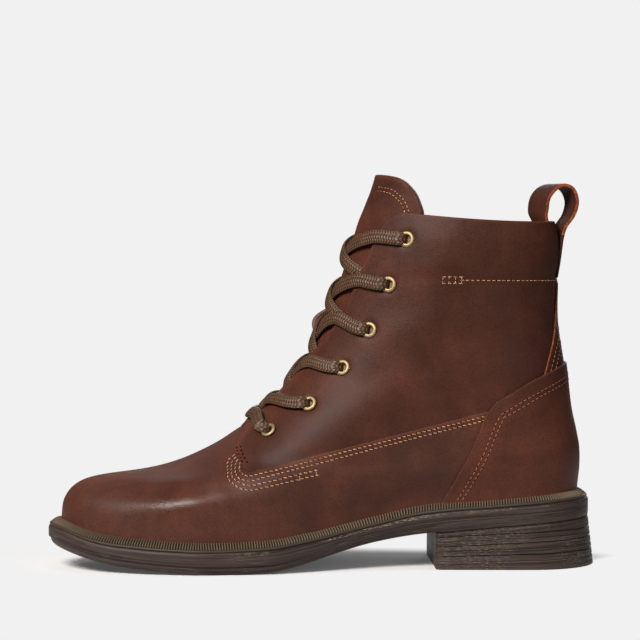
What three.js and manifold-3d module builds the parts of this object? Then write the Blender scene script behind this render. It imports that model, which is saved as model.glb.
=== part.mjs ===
import * as THREE from 'three';
import Module from 'manifold-3d';
import { mergeVertices } from 'three/addons/utils/BufferGeometryUtils.js';

// Lace-up ankle boot for the right foot, in millimetres.
// The toe points to -X, the heel to +X, the inner side of the foot to -Y, and up is +Z.
// The origin is on the floor, midway along the sole.

// Sole
const SOLE_LENGTH = 272;
const BALL_WIDTH = 98;
const TOE_ROUND = 54;
const HEEL_ROUND = 33;
const BALL_STACK = 15.6;
const TOE_SPRING = 9.4;
const HEEL_RISE = 22.9;
const WELT_WIDTH = 6;
const WELT_HEIGHT = 4.6;
const SOLE_EDGE_STEP = 1.3;
const INSOLE_THICKNESS = 3;

// Heel block
const HEEL_FLARE = 2.3;
const HEEL_BREAST = 77.5;
const HEEL_CORNER = 3;
const HEEL_BEVEL = 1.4;
const GROOVE_DEPTH = 0.8;
const GROOVE_HEIGHT = 1.1;

// Upper
const HEEL_LEDGE = 9.1;
const FRONT_RISE = 151;
const BACK_RISE = 134;
const ANKLE_WIDTH = 66;
const WALL = 2;
const PANEL = 0.9;
const TAB = 1.7;
const COUNTER = 1.3;
const TONGUE = 3;
const GAP = 0.3;
const WELT_SEAT = 0.45;

// Eyelets and lace
const EYELET_RADIUS = 4.5;
const EYELET_BORE = 2.3;
const EYELET_BARREL = 2.9;
const EYELET_FLANGE = 0.8;
const EYELET_SEAT = 0.45;
const LACE_WIDTH = 6.6;
const LACE_THICKNESS = 1.9;
const LACE_LIFT = 0.9;
const LACE_TUCK = 0.6;

// Pull loop
const LOOP_WIDTH = 17.5;
const LOOP_THICKNESS = 2.8;
const LOOP_TWIST = 22;
const LOOP_BOW = 2.6;

// Faceting
const SIDE_STEPS = 15;
const SOLE_STEPS = 26;

const HALF_LENGTH = SOLE_LENGTH / 2;
const OUTSOLE_BACK = HALF_LENGTH - HEEL_FLARE;
const WELT_TOE = 1.2 * WELT_WIDTH;
const TOE_X = -HALF_LENGTH + WELT_TOE + PANEL;
const HEEL_X = HALF_LENGTH - HEEL_LEDGE;
const UPPER_LENGTH = HEEL_X - TOE_X;

// Sections along the foot. along is the share of SOLE_LENGTH from the toe. spine, half and girth
// are shares of BALL_WIDTH: the middle line, half the sole, half the foot above it. ledge is the
// share of WELT_WIDTH by which the sole stands out beside the upper.
const FOOT = [
  { along: 0.0, spine: -0.055, half: 0.385, girth: 0.318, ledge: 1 },
  { along: 0.03, spine: -0.058, half: 0.385, girth: 0.319, ledge: 1 },
  { along: 0.08, spine: -0.058, half: 0.389, girth: 0.327, ledge: 1 },
  { along: 0.15, spine: -0.047, half: 0.408, girth: 0.352, ledge: 1 },
  { along: 0.24, spine: -0.028, half: 0.465, girth: 0.408, ledge: 1 },
  { along: 0.3, spine: -0.01, half: 0.49, girth: 0.438, ledge: 1 },
  { along: 0.38, spine: 0.009, half: 0.491, girth: 0.44, ledge: 1 },
  { along: 0.46, spine: 0.029, half: 0.461, girth: 0.42, ledge: 0.95 },
  { along: 0.54, spine: 0.048, half: 0.405, girth: 0.39, ledge: 0.9 },
  { along: 0.62, spine: 0.055, half: 0.352, girth: 0.365, ledge: 0.85 },
  { along: 0.7, spine: 0.043, half: 0.329, girth: 0.345, ledge: 0.8 },
  { along: 0.8, spine: 0.024, half: 0.326, girth: 0.325, ledge: 0.75 },
  { along: 0.9, spine: 0.014, half: 0.326, girth: 0.31, ledge: 0.75 },
  { along: 1.0, spine: 0.01, half: 0.322, girth: 0.3, ledge: 0.8 },
];

// The welt seam is lifted by spring, a share of TOE_SPRING, and by rise, a share of HEEL_RISE.
// under_spring and under_rise do the same for the outsole's underside.
const LIFT = [
  { along: 0.0, spring: 1.12, rise: 0, under_spring: 1.05, under_rise: 0 },
  { along: 0.03, spring: 0.98, rise: 0, under_spring: 0.9, under_rise: 0 },
  { along: 0.08, spring: 0.5, rise: 0, under_spring: 0.57, under_rise: 0 },
  { along: 0.15, spring: 0.225, rise: 0, under_spring: 0.275, under_rise: 0 },
  { along: 0.24, spring: 0.05, rise: 0, under_spring: 0.095, under_rise: 0 },
  { along: 0.27, spring: 0.015, rise: 0, under_spring: 0, under_rise: 0 },
  { along: 0.385, spring: 0, rise: 0.033, under_spring: 0, under_rise: 0 },
  { along: 0.46, spring: 0, rise: 0.15, under_spring: 0, under_rise: 0.155 },
  { along: 0.54, spring: 0, rise: 0.34, under_spring: 0, under_rise: 0.455 },
  { along: 0.62, spring: 0, rise: 0.545, under_spring: 0, under_rise: 0.66 },
  { along: 0.7, spring: 0, rise: 0.735, under_spring: 0, under_rise: 0.79 },
  { along: 0.8, spring: 0, rise: 0.838, under_spring: 0, under_rise: 0.9 },
  { along: 0.9, spring: 0, rise: 0.935, under_spring: 0, under_rise: 1.0 },
  { along: 1.0, spring: 0, rise: 1.01, under_spring: 0, under_rise: 1.096 },
];

// Rings of the upper, each a slanting loop from a point on the front line to one on the back
// line. front and back are shares of UPPER_LENGTH from the toe, front_up of FRONT_RISE above the
// toe seam, back_up of BACK_RISE above the heel seam. The last two rings stand above the collar
// and carry the tongue.
const RINGS = [
  { ring: 0, front: 0.0, front_up: 0.0, back: 1.0, back_up: 0.0 },
  { ring: 1, front: 0.002, front_up: 0.042, back: 1.003, back_up: 0.049 },
  { ring: 2, front: 0.01, front_up: 0.07, back: 1.005, back_up: 0.093 },
  { ring: 3, front: 0.027, front_up: 0.094, back: 1.005, back_up: 0.138 },
  { ring: 4, front: 0.067, front_up: 0.119, back: 1.001, back_up: 0.187 },
  { ring: 5, front: 0.137, front_up: 0.138, back: 0.996, back_up: 0.235 },
  { ring: 6, front: 0.203, front_up: 0.166, back: 0.99, back_up: 0.284 },
  { ring: 7, front: 0.278, front_up: 0.217, back: 0.986, back_up: 0.336 },
  { ring: 8, front: 0.336, front_up: 0.273, back: 0.983, back_up: 0.392 },
  { ring: 9, front: 0.407, front_up: 0.394, back: 0.974, back_up: 0.463 },
  { ring: 10, front: 0.47, front_up: 0.52, back: 0.965, back_up: 0.552 },
  { ring: 11, front: 0.51, front_up: 0.675, back: 0.96, back_up: 0.653 },
  { ring: 12, front: 0.537, front_up: 0.801, back: 0.9665, back_up: 0.787 },
  { ring: 13, front: 0.559, front_up: 0.924, back: 0.9695, back_up: 0.907 },
  { ring: 14, front: 0.581, front_up: 1.0, back: 0.961, back_up: 1.0 },
  { ring: 15, front: 0.606, front_up: 1.073, back: 0.959, back_up: 1.08 },
  { ring: 16, front: 0.64, front_up: 1.17, back: 0.957, back_up: 1.18 },
];

// How each ring rounds off. nose and tail are the lengths of its two ends, as shares of
// UPPER_LENGTH, and pinch draws the nose to a ridge.
const ENDS = [
  { ring: 0, nose: 0.212, tail: 0.118, pinch: 0 },
  { ring: 1, nose: 0.212, tail: 0.118, pinch: 0 },
  { ring: 2, nose: 0.225, tail: 0.118, pinch: 0 },
  { ring: 3, nose: 0.3, tail: 0.118, pinch: 0 },
  { ring: 4, nose: 0.42, tail: 0.12, pinch: 0 },
  { ring: 5, nose: 0.385, tail: 0.123, pinch: 0 },
  { ring: 6, nose: 0.39, tail: 0.126, pinch: 0 },
  { ring: 7, nose: 0.325, tail: 0.13, pinch: 0.1 },
  { ring: 8, nose: 0.28, tail: 0.135, pinch: 0.3 },
  { ring: 9, nose: 0.24, tail: 0.143, pinch: 0.6 },
  { ring: 10, nose: 0.22, tail: 0.153, pinch: 0.9 },
  { ring: 11, nose: 0.21, tail: 0.163, pinch: 1 },
  { ring: 12, nose: 0.21, tail: 0.17, pinch: 1 },
  { ring: 13, nose: 0.21, tail: 0.173, pinch: 1 },
  { ring: 14, nose: 0.21, tail: 0.173, pinch: 1 },
  { ring: 15, nose: 0.21, tail: 0.173, pinch: 1 },
  { ring: 16, nose: 0.21, tail: 0.173, pinch: 1 },
];
const COLLAR_RING = 14;
const TOP_RING = 16;

// Half widths of the shaft. level is the share of BACK_RISE above the heel seam, half a share of
// ANKLE_WIDTH.
const SHAFT = [
  { level: 0.0, half: 0.45 },
  { level: 0.2, half: 0.46 },
  { level: 0.4, half: 0.485 },
  { level: 0.6, half: 0.485 },
  { level: 0.8, half: 0.495 },
  { level: 0.95, half: 0.5 },
  { level: 1.2, half: 0.5 },
];

// Side wall of the outsole, from the floor up. up is the share of its thickness, step how many
// steps of SOLE_EDGE_STEP it is drawn in.
const SOLE_WALL = [
  { up: 0.0, step: 3.2 },
  { up: 0.12, step: 1.6 },
  { up: 0.34, step: 1.0 },
  { up: 0.4, step: 0.1 },
  { up: 0.7, step: 0 },
  { up: 0.93, step: 0.25 },
  { up: 1.0, step: 0.75 },
];

// Grooves round the heel block: shares of its height at the breast and at the back.
const GROOVES = [
  { breast: 0.348, back: 0.352 },
  { breast: 0.61, back: 0.6 },
  { breast: 0.877, back: 0.79 },
];

// Welt cross-section: out is the share of the way from the upper to the sole's edge, up the
// share of WELT_HEIGHT.
const WELT_SECTION = [
  { out: 0, up: 0 },
  { out: 1, up: 0 },
  { out: 0.97, up: 0.42 },
  { out: 0.55, up: 0.8 },
  { out: 0.12, up: 1.0 },
  { out: 0, up: 0.96 },
];

// Side outlines of the panels. x is a share of UPPER_LENGTH from the toe, z a share of
// FRONT_RISE above the toe seam.
const EYESTAY_EDGE = [
  { x: 0.333, z: 0.276 },
  { x: 0.358, z: 0.295 },
  { x: 0.375, z: 0.334 },
  { x: 0.416, z: 0.391 },
  { x: 0.458, z: 0.46 },
  { x: 0.509, z: 0.569 },
  { x: 0.55, z: 0.674 },
  { x: 0.594, z: 0.843 },
  { x: 0.615, z: 0.938 },
  { x: 0.64, z: 0.985 },
  { x: 0.66, z: 1.01 },
];
const COLLAR_LINE = [
  { x: 0.66, z: 1.003 },
  { x: 0.72, z: 0.99 },
  { x: 0.79, z: 0.98 },
  { x: 0.86, z: 0.974 },
  { x: 0.92, z: 0.972 },
  { x: 1.1, z: 0.974 },
];
const SEAM_TOP = [
  { x: 0.365, z: 0.137 },
  { x: 0.43, z: 0.164 },
  { x: 0.52, z: 0.205 },
  { x: 0.66, z: 0.262 },
  { x: 0.825, z: 0.333 },
];
const TAB_FRONT = [
  { x: 0.354, z: 0.31 },
  { x: 0.34, z: 0.27 },
  { x: 0.337, z: 0.215 },
  { x: 0.345, z: 0.17 },
  { x: 0.365, z: 0.137 },
];
const COUNTER_EDGE = [
  { x: 1.1, z: 0.502 },
  { x: 0.982, z: 0.497 },
  { x: 0.919, z: 0.439 },
  { x: 0.85, z: 0.369 },
  { x: 0.824, z: 0.304 },
  { x: 0.802, z: 0.216 },
  { x: 0.745, z: 0.03 },
  { x: 0.72, z: -0.06 },
];
const STAY_EDGE = [
  { x: 0.965, z: 0.775 },
  { x: 0.963, z: 0.72 },
  { x: 0.957, z: 0.62 },
  { x: 0.948, z: 0.55 },
  { x: 0.929, z: 0.465 },
];
// Where the outlines run on, hidden under another piece or in the open air.
const BELOW_THROAT = { x: 0.32, z: 0.34 };
const WING_END = { x: 0.742, z: 0.33 };
const UNDER_TAB = { x: 0.37, z: 0.2 };
const VAMP_BACK = 0.365;
const TAB_TOP = 0.354;
const TAB_FOOT = { x: 0.44, z: 0.12 };
const TAB_BACK = { x: 0.51, z: 0.1 };
const STAY_END = { x: 0.935, z: 0.775 };
const COUNTER_FOOT = 0.72;
const TONGUE_FRONT = [
  { x: 0.56, z: 1.123 },
  { x: 0.2, z: 1.123 },
  { x: 0.2, z: 0.3 },
];
const TONGUE_EDGE = [
  { x: 0.31, z: 0.19 },
  { x: 0.37, z: 0.2 },
  { x: 0.45, z: 0.34 },
  { x: 0.54, z: 0.5 },
  { x: 0.6, z: 0.68 },
  { x: 0.64, z: 0.86 },
  { x: 0.685, z: 0.97 },
  { x: 0.695, z: 1.04 },
  { x: 0.688, z: 1.075 },
  { x: 0.672, z: 1.1 },
  { x: 0.652, z: 1.118 },
  { x: 0.63, z: 1.123 },
];

// The tab's rise over the vamp runs out between these shares of UPPER_LENGTH, and FLIP is where
// the seam passes from under the quarter to over it.
const TAB_START = 0.35;
const TAB_END = 0.47;
const FLIP = { x: 0.41, z: 0.155 };

// Eyelets up the throat, the lowest first, in the same shares. The strand from each one comes
// into the open at the share open of its way to the next eyelet opposite, tuck deep from the
// leather's height at 0 to the tongue's at 1, and is back on top of the leather at climb.
const EYELETS = [
  { x: 0.404, z: 0.28, open: 0.41, climb: 0.47, tuck: 0 },
  { x: 0.485, z: 0.371, open: 0.41, climb: 0.59, tuck: 1 },
  { x: 0.548, z: 0.488, open: 0.33, climb: 0.64, tuck: 1 },
  { x: 0.601, z: 0.612, open: 0.27, climb: 0.74, tuck: 1 },
  { x: 0.64, z: 0.763, open: 0.235, climb: 0.74, tuck: 1 },
  { x: 0.675, z: 0.912, open: 0, climb: 0, tuck: 0 },
];

const COLOURS = {
  leather: 0x5a2e22,
  edge: 0xa0502c,
  lining: 0x8a6a4c,
  rubber: 0x3a302c,
  welt: 0x6a5c44,
  brass: 0xb9a878,
  lace: 0x4a4034,
};

const wasm = await Module();
wasm.setup();

function mix(a, b, share) {
  return a + (b - a) * share;
}

function smooth(from, to, value) {
  const t = Math.min(1, Math.max(0, (value - from) / (to - from)));
  return t * t * (3 - 2 * t);
}

// A smooth curve through two columns of a table that never swings past its rows.
function column(rows, along, key) {
  const xs = rows.map((row) => row[along]);
  const ys = rows.map((row) => row[key]);
  const last = xs.length - 1;
  const slopes = xs.slice(1).map((x, i) => (ys[i + 1] - ys[i]) / (x - xs[i]));
  const tangents = xs.map((x, i) => {
    if (i === 0) {
      return slopes[0];
    }
    if (i === last) {
      return slopes[last - 1];
    }
    const product = slopes[i - 1] * slopes[i];
    return product <= 0 ? 0 : (2 * product) / (slopes[i - 1] + slopes[i]);
  });
  return (at) => {
    let i = 0;
    while (i < last - 1 && at > xs[i + 1]) {
      i += 1;
    }
    const width = xs[i + 1] - xs[i];
    const t = Math.min(1, Math.max(0, (at - xs[i]) / width));
    const left = ys[i] + tangents[i] * width * t;
    const right = ys[i + 1] - tangents[i + 1] * width * (1 - t);
    return mix(left, right, t * t * (3 - 2 * t));
  };
}

const spineShare = column(FOOT, 'along', 'spine');
const halfShare = column(FOOT, 'along', 'half');
const girthShare = column(FOOT, 'along', 'girth');
const ledgeShare = column(FOOT, 'along', 'ledge');
const springShare = column(LIFT, 'along', 'spring');
const riseShare = column(LIFT, 'along', 'rise');
const underSpring = column(LIFT, 'along', 'under_spring');
const underRise = column(LIFT, 'along', 'under_rise');
const shaftShare = column(SHAFT, 'level', 'half');
const ringFront = column(RINGS, 'ring', 'front');
const ringFrontUp = column(RINGS, 'ring', 'front_up');
const ringBack = column(RINGS, 'ring', 'back');
const ringBackUp = column(RINGS, 'ring', 'back_up');
const ringNose = column(ENDS, 'ring', 'nose');
const ringTail = column(ENDS, 'ring', 'tail');
const ringPinch = column(ENDS, 'ring', 'pinch');

const along = (x) => (x + HALF_LENGTH) / SOLE_LENGTH;
const spine = (x) => BALL_WIDTH * spineShare(along(x));
const springRise = (x) => TOE_SPRING * springShare(along(x)) + HEEL_RISE * riseShare(along(x));
const seamZ = (x) => BALL_STACK + springRise(x);
const underZ = (x) => TOE_SPRING * underSpring(along(x)) + HEEL_RISE * underRise(along(x));
const soleTopZ = (x) => seamZ(x) - WELT_HEIGHT;
const TOE_SEAM = seamZ(TOE_X);
const HEEL_SEAM = seamZ(HEEL_X);

// A quarter of an ellipse from 0 at the end of a piece to 1 where its body begins.
function roundEnd(share) {
  const t = Math.min(1, Math.max(0, share));
  return Math.sqrt(1 - (1 - t) * (1 - t));
}

// Half the width of the sole's outline at x, drawn in by inset all round.
function soleHalf(x, inset, back) {
  const body = BALL_WIDTH * halfShare(along(x)) - inset;
  const toe = roundEnd((x + HALF_LENGTH - inset) / TOE_ROUND);
  const heel = roundEnd((back - inset - x) / HEEL_ROUND);
  return body * toe * heel;
}

// The points of a closed loop: from the toe along the outer side to the heel, and back along the
// inner side. at(x, side) gives each point.
function loop(front, back, steps, at) {
  const points = [];
  for (let i = 0; i < 2 * steps; i += 1) {
    const share = (1 - Math.cos((Math.PI * i) / steps)) / 2;
    const side = i === 0 || i === steps ? 0 : i < steps ? 1 : -1;
    points.push(at(mix(front, back, share), side, share));
  }
  return points;
}

function geometryOf(points, faces) {
  const geometry = new THREE.BufferGeometry();
  const flat = points.flatMap((p) => [p.x, p.y, p.z]);
  geometry.setAttribute('position', new THREE.Float32BufferAttribute(flat, 3));
  geometry.setIndex(faces.flat());
  return geometry;
}

// A closed skin over rings of equally many points, the first and last closed by strips across
// them, and turned so that its faces point out.
function skin(rings) {
  const count = rings[0].length;
  const half = count / 2;
  const points = rings.flat();
  const faces = [];
  for (let r = 0; r < rings.length - 1; r += 1) {
    for (let i = 0; i < count; i += 1) {
      const a = r * count + i;
      const b = r * count + ((i + 1) % count);
      faces.push([a, b, b + count], [a, b + count, a + count]);
    }
  }
  const cap = (start, flip) => {
    for (let i = 0; i < half; i += 1) {
      const quad = [i, i + 1, (count - i - 1) % count, (count - i) % count].map((k) => start + k);
      const fans = i === 0 ? [[0, 1, 2]] : i === half - 1 ? [[0, 1, 3]] : [[0, 1, 2], [0, 2, 3]];
      fans.forEach((fan) => {
        const face = fan.map((k) => quad[k]);
        faces.push(flip ? face.reverse() : face);
      });
    }
  };
  cap(0, true);
  cap((rings.length - 1) * count, false);
  return outward(points, faces);
}

// A closed skin over sections that form a ring themselves, such as a band round the boot.
function bandSkin(sections) {
  const count = sections[0].length;
  const points = sections.flat();
  const faces = [];
  sections.forEach((section, s) => {
    const next = (s + 1) % sections.length;
    for (let i = 0; i < count; i += 1) {
      const j = (i + 1) % count;
      faces.push([s * count + i, next * count + i, next * count + j]);
      faces.push([s * count + i, next * count + j, s * count + j]);
    }
  });
  return outward(points, faces);
}

function outward(points, faces) {
  let volume = 0;
  faces.forEach(([a, b, c]) => {
    volume += points[a].dot(new THREE.Vector3().crossVectors(points[b], points[c]));
  });
  const turned = volume < 0 ? faces.map(([a, b, c]) => [a, c, b]) : faces;
  return geometryOf(points, turned);
}

function solidOf(geometry) {
  const bare = geometry.clone();
  bare.deleteAttribute('normal');
  bare.deleteAttribute('uv');
  const merged = mergeVertices(bare, 1e-4);
  return new wasm.Manifold(new wasm.Mesh({
    numProp: 3,
    vertProperties: Float32Array.from(merged.attributes.position.array),
    triVerts: Uint32Array.from(merged.index.array),
  }));
}

function geometryFrom(solid) {
  const mesh = solid.getMesh();
  const geometry = new THREE.BufferGeometry();
  geometry.setAttribute('position', new THREE.BufferAttribute(mesh.vertProperties, 3));
  geometry.setIndex(new THREE.BufferAttribute(mesh.triVerts, 1));
  return geometry;
}

// The upper's own form

// Half the breadth of the upper at a place in the side view, before its ends are rounded.
function bodyHalf(x, z) {
  const seam = BALL_WIDTH * halfShare(along(x)) - WELT_WIDTH * ledgeShare(along(x)) - PANEL;
  const girth = BALL_WIDTH * girthShare(along(x));
  const low = mix(seam, girth, smooth(0, 0.16 * BACK_RISE, z - seamZ(x)));
  const level = (z - HEEL_SEAM) / BACK_RISE;
  return mix(low, ANKLE_WIDTH * shaftShare(level), smooth(0.17, 0.55, level));
}

function bodySpine(x, z) {
  const level = (z - HEEL_SEAM) / BACK_RISE;
  return mix(spine(x), 0.012 * BALL_WIDTH, smooth(0.1, 0.6, level));
}

// A point of the upper's outer face. ring runs from the seam at 0 to the collar, and reach is
// signed: 0 on the front line, 1 and -1 on the back line, positive on the outer side.
function upperPoint(ring, reach) {
  const held = Math.max(0, ring);
  const front = TOE_X + UPPER_LENGTH * ringFront(held);
  const back = TOE_X + UPPER_LENGTH * ringBack(held);
  const frontZ = TOE_SEAM + FRONT_RISE * ringFrontUp(held);
  const backZ = HEEL_SEAM + BACK_RISE * ringBackUp(held);
  const share = reach * reach;
  const x = mix(front, back, share);
  const seamX = mix(TOE_X, HEEL_X, share);
  const sag = seamZ(seamX) - mix(TOE_SEAM, HEEL_SEAM, share);
  const fade = Math.pow(Math.max(0, 1 - held / COLLAR_RING), 1.6);
  const z = mix(frontZ, backZ, share) + sag * fade;
  const pinch = ringPinch(held);
  const nose = Math.min(1, (x - front) / (UPPER_LENGTH * ringNose(held)));
  const rounded = Math.pow(1 - Math.pow(1 - nose, 2 - 0.4 * pinch), 1 / (2 - 0.2 * pinch));
  const tail = roundEnd((back - x) / (UPPER_LENGTH * ringTail(held)));
  const half = bodyHalf(x, z) * rounded * tail;
  const below = Math.min(0, ring) * WELT_HEIGHT;
  return new THREE.Vector3(x, bodySpine(x, z) + Math.sign(reach) * half, z + below);
}

// The ring and reach of a point of the side view, found by halving.
function ringAt(x, z) {
  let low = 0;
  let high = TOP_RING;
  let share = 0;
  for (let i = 0; i < 40; i += 1) {
    const middle = (low + high) / 2;
    const front = TOE_X + UPPER_LENGTH * ringFront(middle);
    const back = TOE_X + UPPER_LENGTH * ringBack(middle);
    share = Math.min(1, Math.max(0, (x - front) / (back - front)));
    if (upperPoint(middle, Math.sqrt(share)).z < z) {
      low = middle;
    } else {
      high = middle;
    }
  }
  return { ring: low, reach: Math.sqrt(share) };
}

// The same point lifted off the outer face, with the face's directions there.
function lifted(ring, reach, lift) {
  const step = 0.01;
  const point = upperPoint(ring, reach);
  const up = upperPoint(ring + step, reach).sub(upperPoint(ring - step, reach)).normalize();
  const across = upperPoint(ring, reach + step).sub(upperPoint(ring, reach - step)).normalize();
  const normal = new THREE.Vector3().crossVectors(across, up).normalize();
  return { point: point.addScaledVector(normal, lift), normal, up, across };
}

// The filled form inside the upper's outer face, swollen by lift, which may vary over it.
const FORM_RINGS = [-3, 0, 0.7, 1.4, 2.2, 3, 3.8, 4.7, 5.6, 6.5, 7.3, 8.1, 8.9, 9.7, 10.6];
FORM_RINGS.push(11.5, 12.5, 13.4, 14.2, 15.1, TOP_RING);

function form(lift) {
  const rings = FORM_RINGS.map((ring) => loop(0, 1, SIDE_STEPS, (unused, side, share) => {
    const sign = side === 0 ? 1 : side;
    return upperPoint(ring, sign * Math.sqrt(share));
  }));
  const count = rings[0].length;
  const moved = rings.map((points, r) => points.map((point, i) => {
    const before = points[(i + count - 1) % count];
    const after = points[(i + 1) % count];
    const above = rings[Math.min(r + 1, rings.length - 1)][i];
    const below = rings[Math.max(r - 1, 0)][i];
    const acrossWay = after.clone().sub(before);
    const upWay = above.clone().sub(below);
    const normal = new THREE.Vector3().crossVectors(upWay, acrossWay).normalize();
    const amount = typeof lift === 'function' ? lift(point) : lift;
    return point.clone().addScaledVector(normal, amount);
  }));
  return solidOf(skin(moved));
}

// Side view

const sideX = (share) => TOE_X + UPPER_LENGTH * share;
const sideZ = (share) => TOE_SEAM + FRONT_RISE * share;
const corner = (x, z) => new THREE.Vector2(x, z);
const sideCorner = (row) => corner(sideX(row.x), sideZ(row.z));
const SKY = sideZ(1.4);
const FAR_BACK = HALF_LENGTH + WELT_WIDTH;
const FAR_FRONT = -HALF_LENGTH - WELT_WIDTH;

// A smooth line through the rows of a side outline.
function line(rows, steps) {
  return new THREE.SplineCurve(rows.map(sideCorner)).getPoints(steps);
}

// A block that fills an outline of the side view from one side of the boot to the other.
function sideBlock(points) {
  const depth = 2 * BALL_WIDTH;
  const block = new THREE.ExtrudeGeometry(new THREE.Shape(points), { depth, bevelEnabled: false });
  block.rotateX(Math.PI / 2);
  block.translate(0, depth / 2, 0);
  return solidOf(block);
}

// Points along the top of the outsole, lifted, at the same stations as the sole's own.
function soleLine(lift) {
  const points = [corner(FAR_FRONT, soleTopZ(FAR_FRONT) + lift)];
  for (let i = 0; i <= SOLE_STEPS; i += 1) {
    const share = (1 - Math.cos((Math.PI * i) / SOLE_STEPS)) / 2;
    const x = mix(-HALF_LENGTH + SOLE_EDGE_STEP, OUTSOLE_BACK - SOLE_EDGE_STEP, share);
    points.push(corner(x, soleTopZ(x) + lift));
  }
  points.push(corner(FAR_BACK, soleTopZ(FAR_BACK) + lift));
  return points;
}

// Everything between the outsole and the collar, behind the throat.
function bodyOutline() {
  return [
    ...soleLine(GAP),
    ...line(COLLAR_LINE, 8).reverse().slice(0, -1),
    ...line(EYESTAY_EDGE, 18).reverse(),
    sideCorner(BELOW_THROAT),
    corner(FAR_FRONT, sideZ(BELOW_THROAT.z)),
  ];
}

// The vamp and its wing below the seam. Under the tab it runs on, hidden.
function vampOutline() {
  const seam = line(SEAM_TOP, 10).filter((p) => p.x > sideX(FLIP.x));
  return [
    corner(FAR_FRONT, -WELT_HEIGHT),
    corner(sideX(WING_END.x) - GAP, -WELT_HEIGHT),
    ...line(COUNTER_EDGE, 16).reverse().filter((p) => p.y < sideZ(WING_END.z))
      .map((p) => corner(p.x - 2 * GAP, p.y)),
    ...seam.reverse(),
    sideCorner(FLIP),
    sideCorner(UNDER_TAB),
    corner(sideX(VAMP_BACK), SKY),
    corner(FAR_FRONT, SKY),
  ];
}

// The quarter behind its front edge, whose lower edge runs on behind the wing.
function quarterOutline() {
  const seam = line(SEAM_TOP, 10).filter((p) => p.x < sideX(FLIP.x));
  return [
    ...line(TAB_FRONT, 10),
    ...seam.slice(1),
    sideCorner(FLIP),
    sideCorner(TAB_FOOT),
    sideCorner(TAB_BACK),
    corner(sideX(TAB_BACK.x), SKY),
    corner(sideX(TAB_TOP), SKY),
  ];
}

function stayOutline() {
  return [
    ...line(STAY_EDGE, 10),
    ...line(COUNTER_EDGE, 16).filter((p) => p.x > sideX(STAY_END.x)).reverse()
      .map((p) => corner(p.x, p.y + 2 * GAP)),
    corner(FAR_BACK, sideZ(STAY_END.z)),
  ];
}

function counterOutline() {
  return [
    ...line(COUNTER_EDGE, 16),
    corner(sideX(COUNTER_FOOT), -WELT_HEIGHT),
    corner(FAR_BACK, -WELT_HEIGHT),
  ];
}

function tongueOutline() {
  return [
    ...line(TONGUE_EDGE, 20),
    ...TONGUE_FRONT.map(sideCorner),
  ];
}

function aboveSole(solid, lift) {
  const ground = [
    ...soleLine(lift),
    corner(FAR_BACK, -2 * BALL_STACK),
    corner(FAR_FRONT, -2 * BALL_STACK),
  ];
  return solid.subtract(sideBlock(ground));
}

// How far the quarter stands out over the vamp at x: most at its front edge.
const tabLift = (x) => mix(TAB, 0, smooth(sideX(TAB_START), sideX(TAB_END), x));

// Eyelets

// An eyelet stands square to the leather, on the highest point of it under the flange.
function eyeletSeat(row, side) {
  const { ring, reach } = ringAt(sideX(row.x), sideZ(row.z));
  const seat = lifted(ring, side * reach, 0);
  const normal = seat.normal.clone().multiplyScalar(Math.sign(seat.normal.y) * side);
  const turn = new THREE.Quaternion().setFromUnitVectors(new THREE.Vector3(0, 1, 0), normal);
  const heights = [0, 1, 2, 3, 4, 5, 6, 7].map((i) => {
    const angle = (Math.PI * i) / 4;
    const x = seat.point.x + EYELET_RADIUS * Math.cos(angle);
    const rim = ringAt(x, seat.point.z + EYELET_RADIUS * Math.sin(angle));
    return upperPoint(rim.ring, side * rim.reach).sub(seat.point).dot(normal) + tabLift(x);
  });
  const lift = Math.max(tabLift(seat.point.x), ...heights) + EYELET_SEAT;
  return { point: seat.point, normal, turn, ring, reach: side * reach, lift };
}

function eyeletHole(row, side) {
  const seat = eyeletSeat(row, side);
  const hole = new THREE.CylinderGeometry(EYELET_BARREL + GAP, EYELET_BARREL + GAP, 6 * WALL, 8);
  hole.applyQuaternion(seat.turn);
  hole.translate(seat.point.x, seat.point.y, seat.point.z);
  return solidOf(hole);
}

// A rolled eyelet: a flange lying lift above the seat, and a barrel down through the wall.
function eyeletGeometry(lift) {
  const crown = lift + EYELET_FLANGE;
  const profile = [
    [EYELET_BORE, -WALL],
    [EYELET_BARREL, -WALL],
    [EYELET_BARREL, lift],
    [EYELET_RADIUS, lift],
    [EYELET_RADIUS - 0.6 * EYELET_FLANGE, crown],
    [EYELET_BARREL, crown],
    [EYELET_BORE, -WALL],
  ].map(([radius, height]) => corner(radius, height));
  return new THREE.LatheGeometry(profile, 8);
}

// Laces

// A flat strand laid over the throat from one signed reach to the other, narrower where it comes
// out from under the leather. heights gives how far its lower face stands off the upper's outer
// face along the way.
function strand(from, to, heights) {
  const steps = 8;
  const height = column(heights, 'way', 'lift');
  const first = heights[0].way;
  const last = heights[heights.length - 1].way;
  const sections = [];
  for (let i = 0; i <= steps; i += 1) {
    const way = mix(first, last, i / steps);
    const here = between(from, to, way);
    const ahead = between(from, to, way + 0.01).point.sub(between(from, to, way - 0.01).point);
    const normal = here.normal.clone();
    if (normal.x > 0) {
      normal.negate();
    }
    const side = new THREE.Vector3().crossVectors(normal, ahead.normalize()).normalize();
    const width = LACE_WIDTH * mix(LACE_TUCK, 1, smooth(0, 0.2, i / steps));
    const low = height(way);
    const high = low + LACE_THICKNESS;
    const middle = (low + high) / 2;
    const outline = [
      [-0.38, low], [0.38, low], [0.5, middle], [0.38, high], [-0.38, high], [-0.5, middle],
    ];
    sections.push(outline.map(([out, up]) => here.point.clone()
      .addScaledVector(side, out * width)
      .addScaledVector(normal, up)));
  }
  return solidOf(skin(sections));
}

// The place a share of the way from one eyelet to another, over the throat.
function between(from, to, way) {
  return lifted(mix(from.ring, to.ring, way), mix(from.reach, to.reach, way), 0);
}

const ON_TONGUE = -WALL - GAP + LACE_LIFT;

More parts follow.
